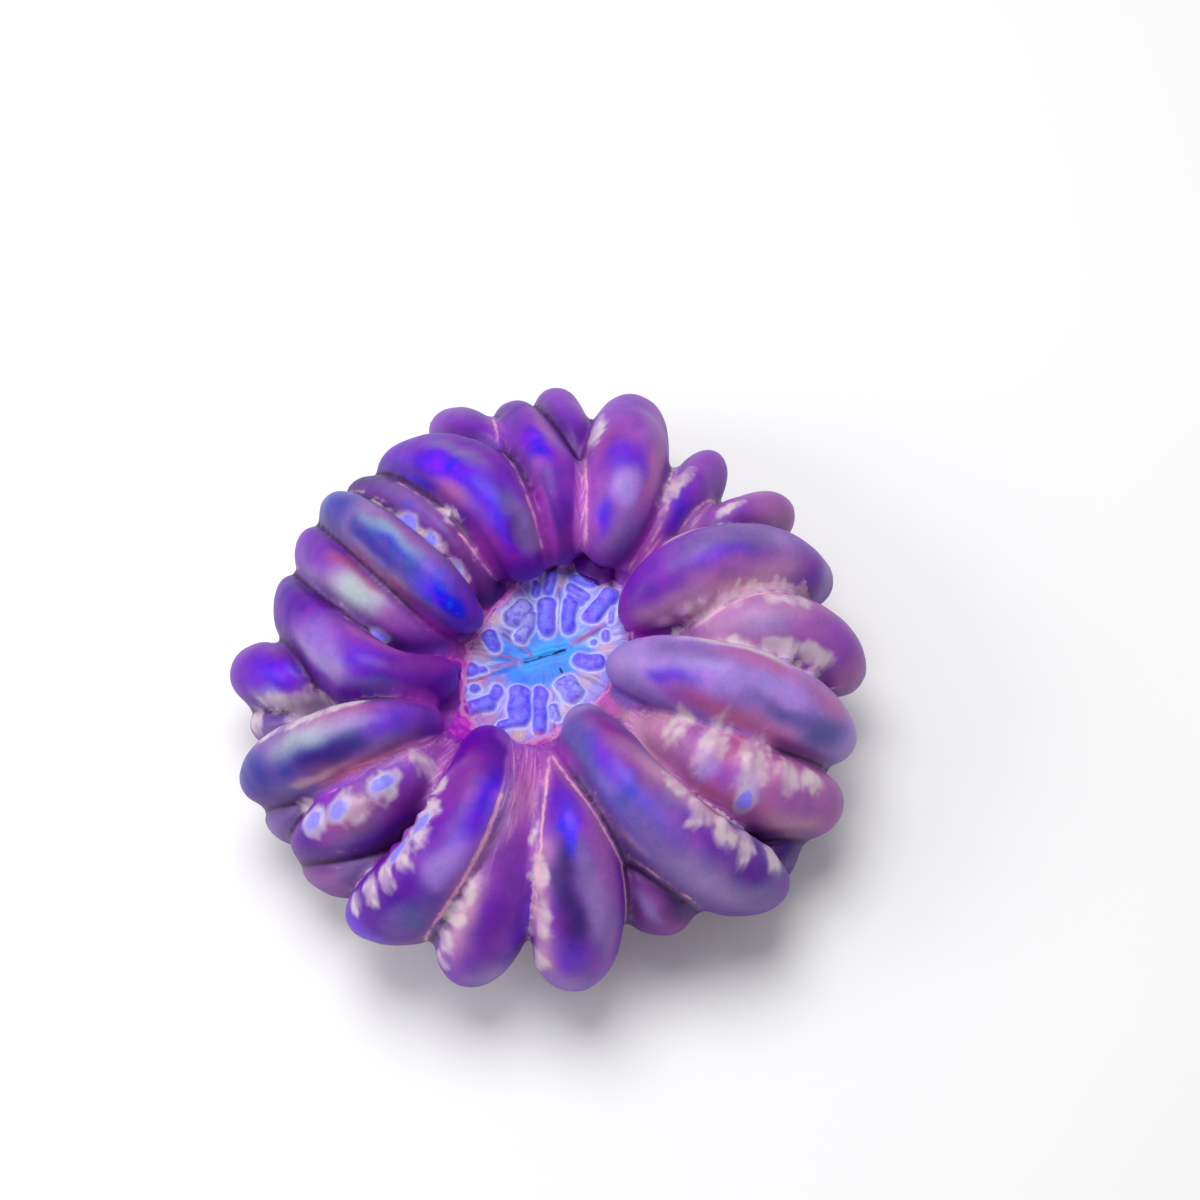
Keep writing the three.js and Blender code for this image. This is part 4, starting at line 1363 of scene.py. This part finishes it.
def flesh_finish():
    material = bpy.data.materials.new("polyp_flesh")
    material.use_nodes = True
    tree = material.node_tree
    g = Ground(Wire(tree))
    colour = cloudy_flesh(g)
    for layer in (with_grooves, with_skeleton, with_threads, with_swirls, with_disc, with_stone):
        colour = layer(colour, g)
    rough = 0.46 + (g.fine - 0.5) * 0.2 + g.stony * 0.4
    height = g.fine * 0.4 + g.grain * 0.25 + g.streaks * 0.35 * (1 - g.on_disc)
    height = height + g.pits * 2 * g.stony
    bump = g.x.node("Bump", {}, {"Strength": 0.18, "Distance": 0.0004, "Height": height})
    surface = tree.nodes["Principled BSDF"]
    tree.links.new(colour.socket, surface.inputs["Base Color"])
    tree.links.new(rough.socket, surface.inputs["Roughness"])
    tree.links.new(bump.socket, surface.inputs["Normal"])
    surface.inputs["Specular IOR Level"].default_value = 0.28
    surface.inputs["Subsurface Weight"].default_value = 0.12
    surface.inputs["Subsurface Radius"].default_value = (1.0, 0.35, 0.9)
    surface.inputs["Subsurface Scale"].default_value = 0.0015
    surface.inputs["Coat Weight"].default_value = 0.04
    surface.inputs["Coat Roughness"].default_value = 0.25
    return material


def carve_and_paint(polyp):
    """Sculpts the joined skin and keeps its colours on it."""
    points = read_all(polyp.data.vertices, "co", float, 3) / MM
    edges = read_all(polyp.data.edges, "vertices", int, 2)
    survey = Survey(points)
    kinds = survey.nearest_of_each_kind()
    crease = np.exp(-((survey.seam / 0.8) ** 2)) * (1 - smooth_step(1.5, 3, survey.gap))
    crease = 1.5 * evened(crease, edges, 7)
    survey.seam = evened(survey.seam, edges, 7)
    web = evened(survey.web(), edges, 8)
    ease_creases(points, edges, survey)
    swell(points, survey, crease, web)
    knob_edge = sculpt_disc(points)

    marks = [nearness(points, PATCHES), nearness(points, SPOTS)]
    # The edges marked here are partly painted rim light.
    marks += [evened(survey.along_groove(rows), edges, 3) for rows in (EDGES, FRINGES)]
    reach = disc_reach(points)
    seam = np.where(survey.on_body, 9, np.clip(survey.seam, 0, 9))
    oral = np.where(survey.on_body & (points[:, 2] > TOP_STARTS), reach, 9)
    keep_numbers(polyp, "flesh", *paint_flesh(points, survey, knob_edge))
    keep_numbers(polyp, "marks", *marks)
    keep_numbers(polyp, "kinds", *kinds)
    keep_numbers(polyp, "folds", web, np.clip(reach, 0, 4), seam)
    keep_numbers(polyp, "oral", oral, knob_edge / 4 + 0.5)
    keep_lobe_run(polyp, survey)
    move_mesh_points(polyp, points)


add_camera()
add_floor()
add_studio()

egg = blunt_egg()
pieces = [body()] + [lobe(egg, name, *sizes) for name, sizes in LOBES.items()] + teeth()
bpy.data.objects.remove(egg)
polyp = grow_together(pieces, "polyp_flesh")
refine_disc(polyp)
carve_and_paint(polyp)
activate(polyp)
polyp.location = Vector(MIDDLE_SHIFT) * MM
bpy.ops.object.transform_apply(location=True, rotation=True, scale=True)
polyp.data.materials.clear()
polyp.data.materials.append(flesh_finish())
bpy.ops.object.shade_smooth()

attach(polyp, "root")
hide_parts("cynarina_polyp")
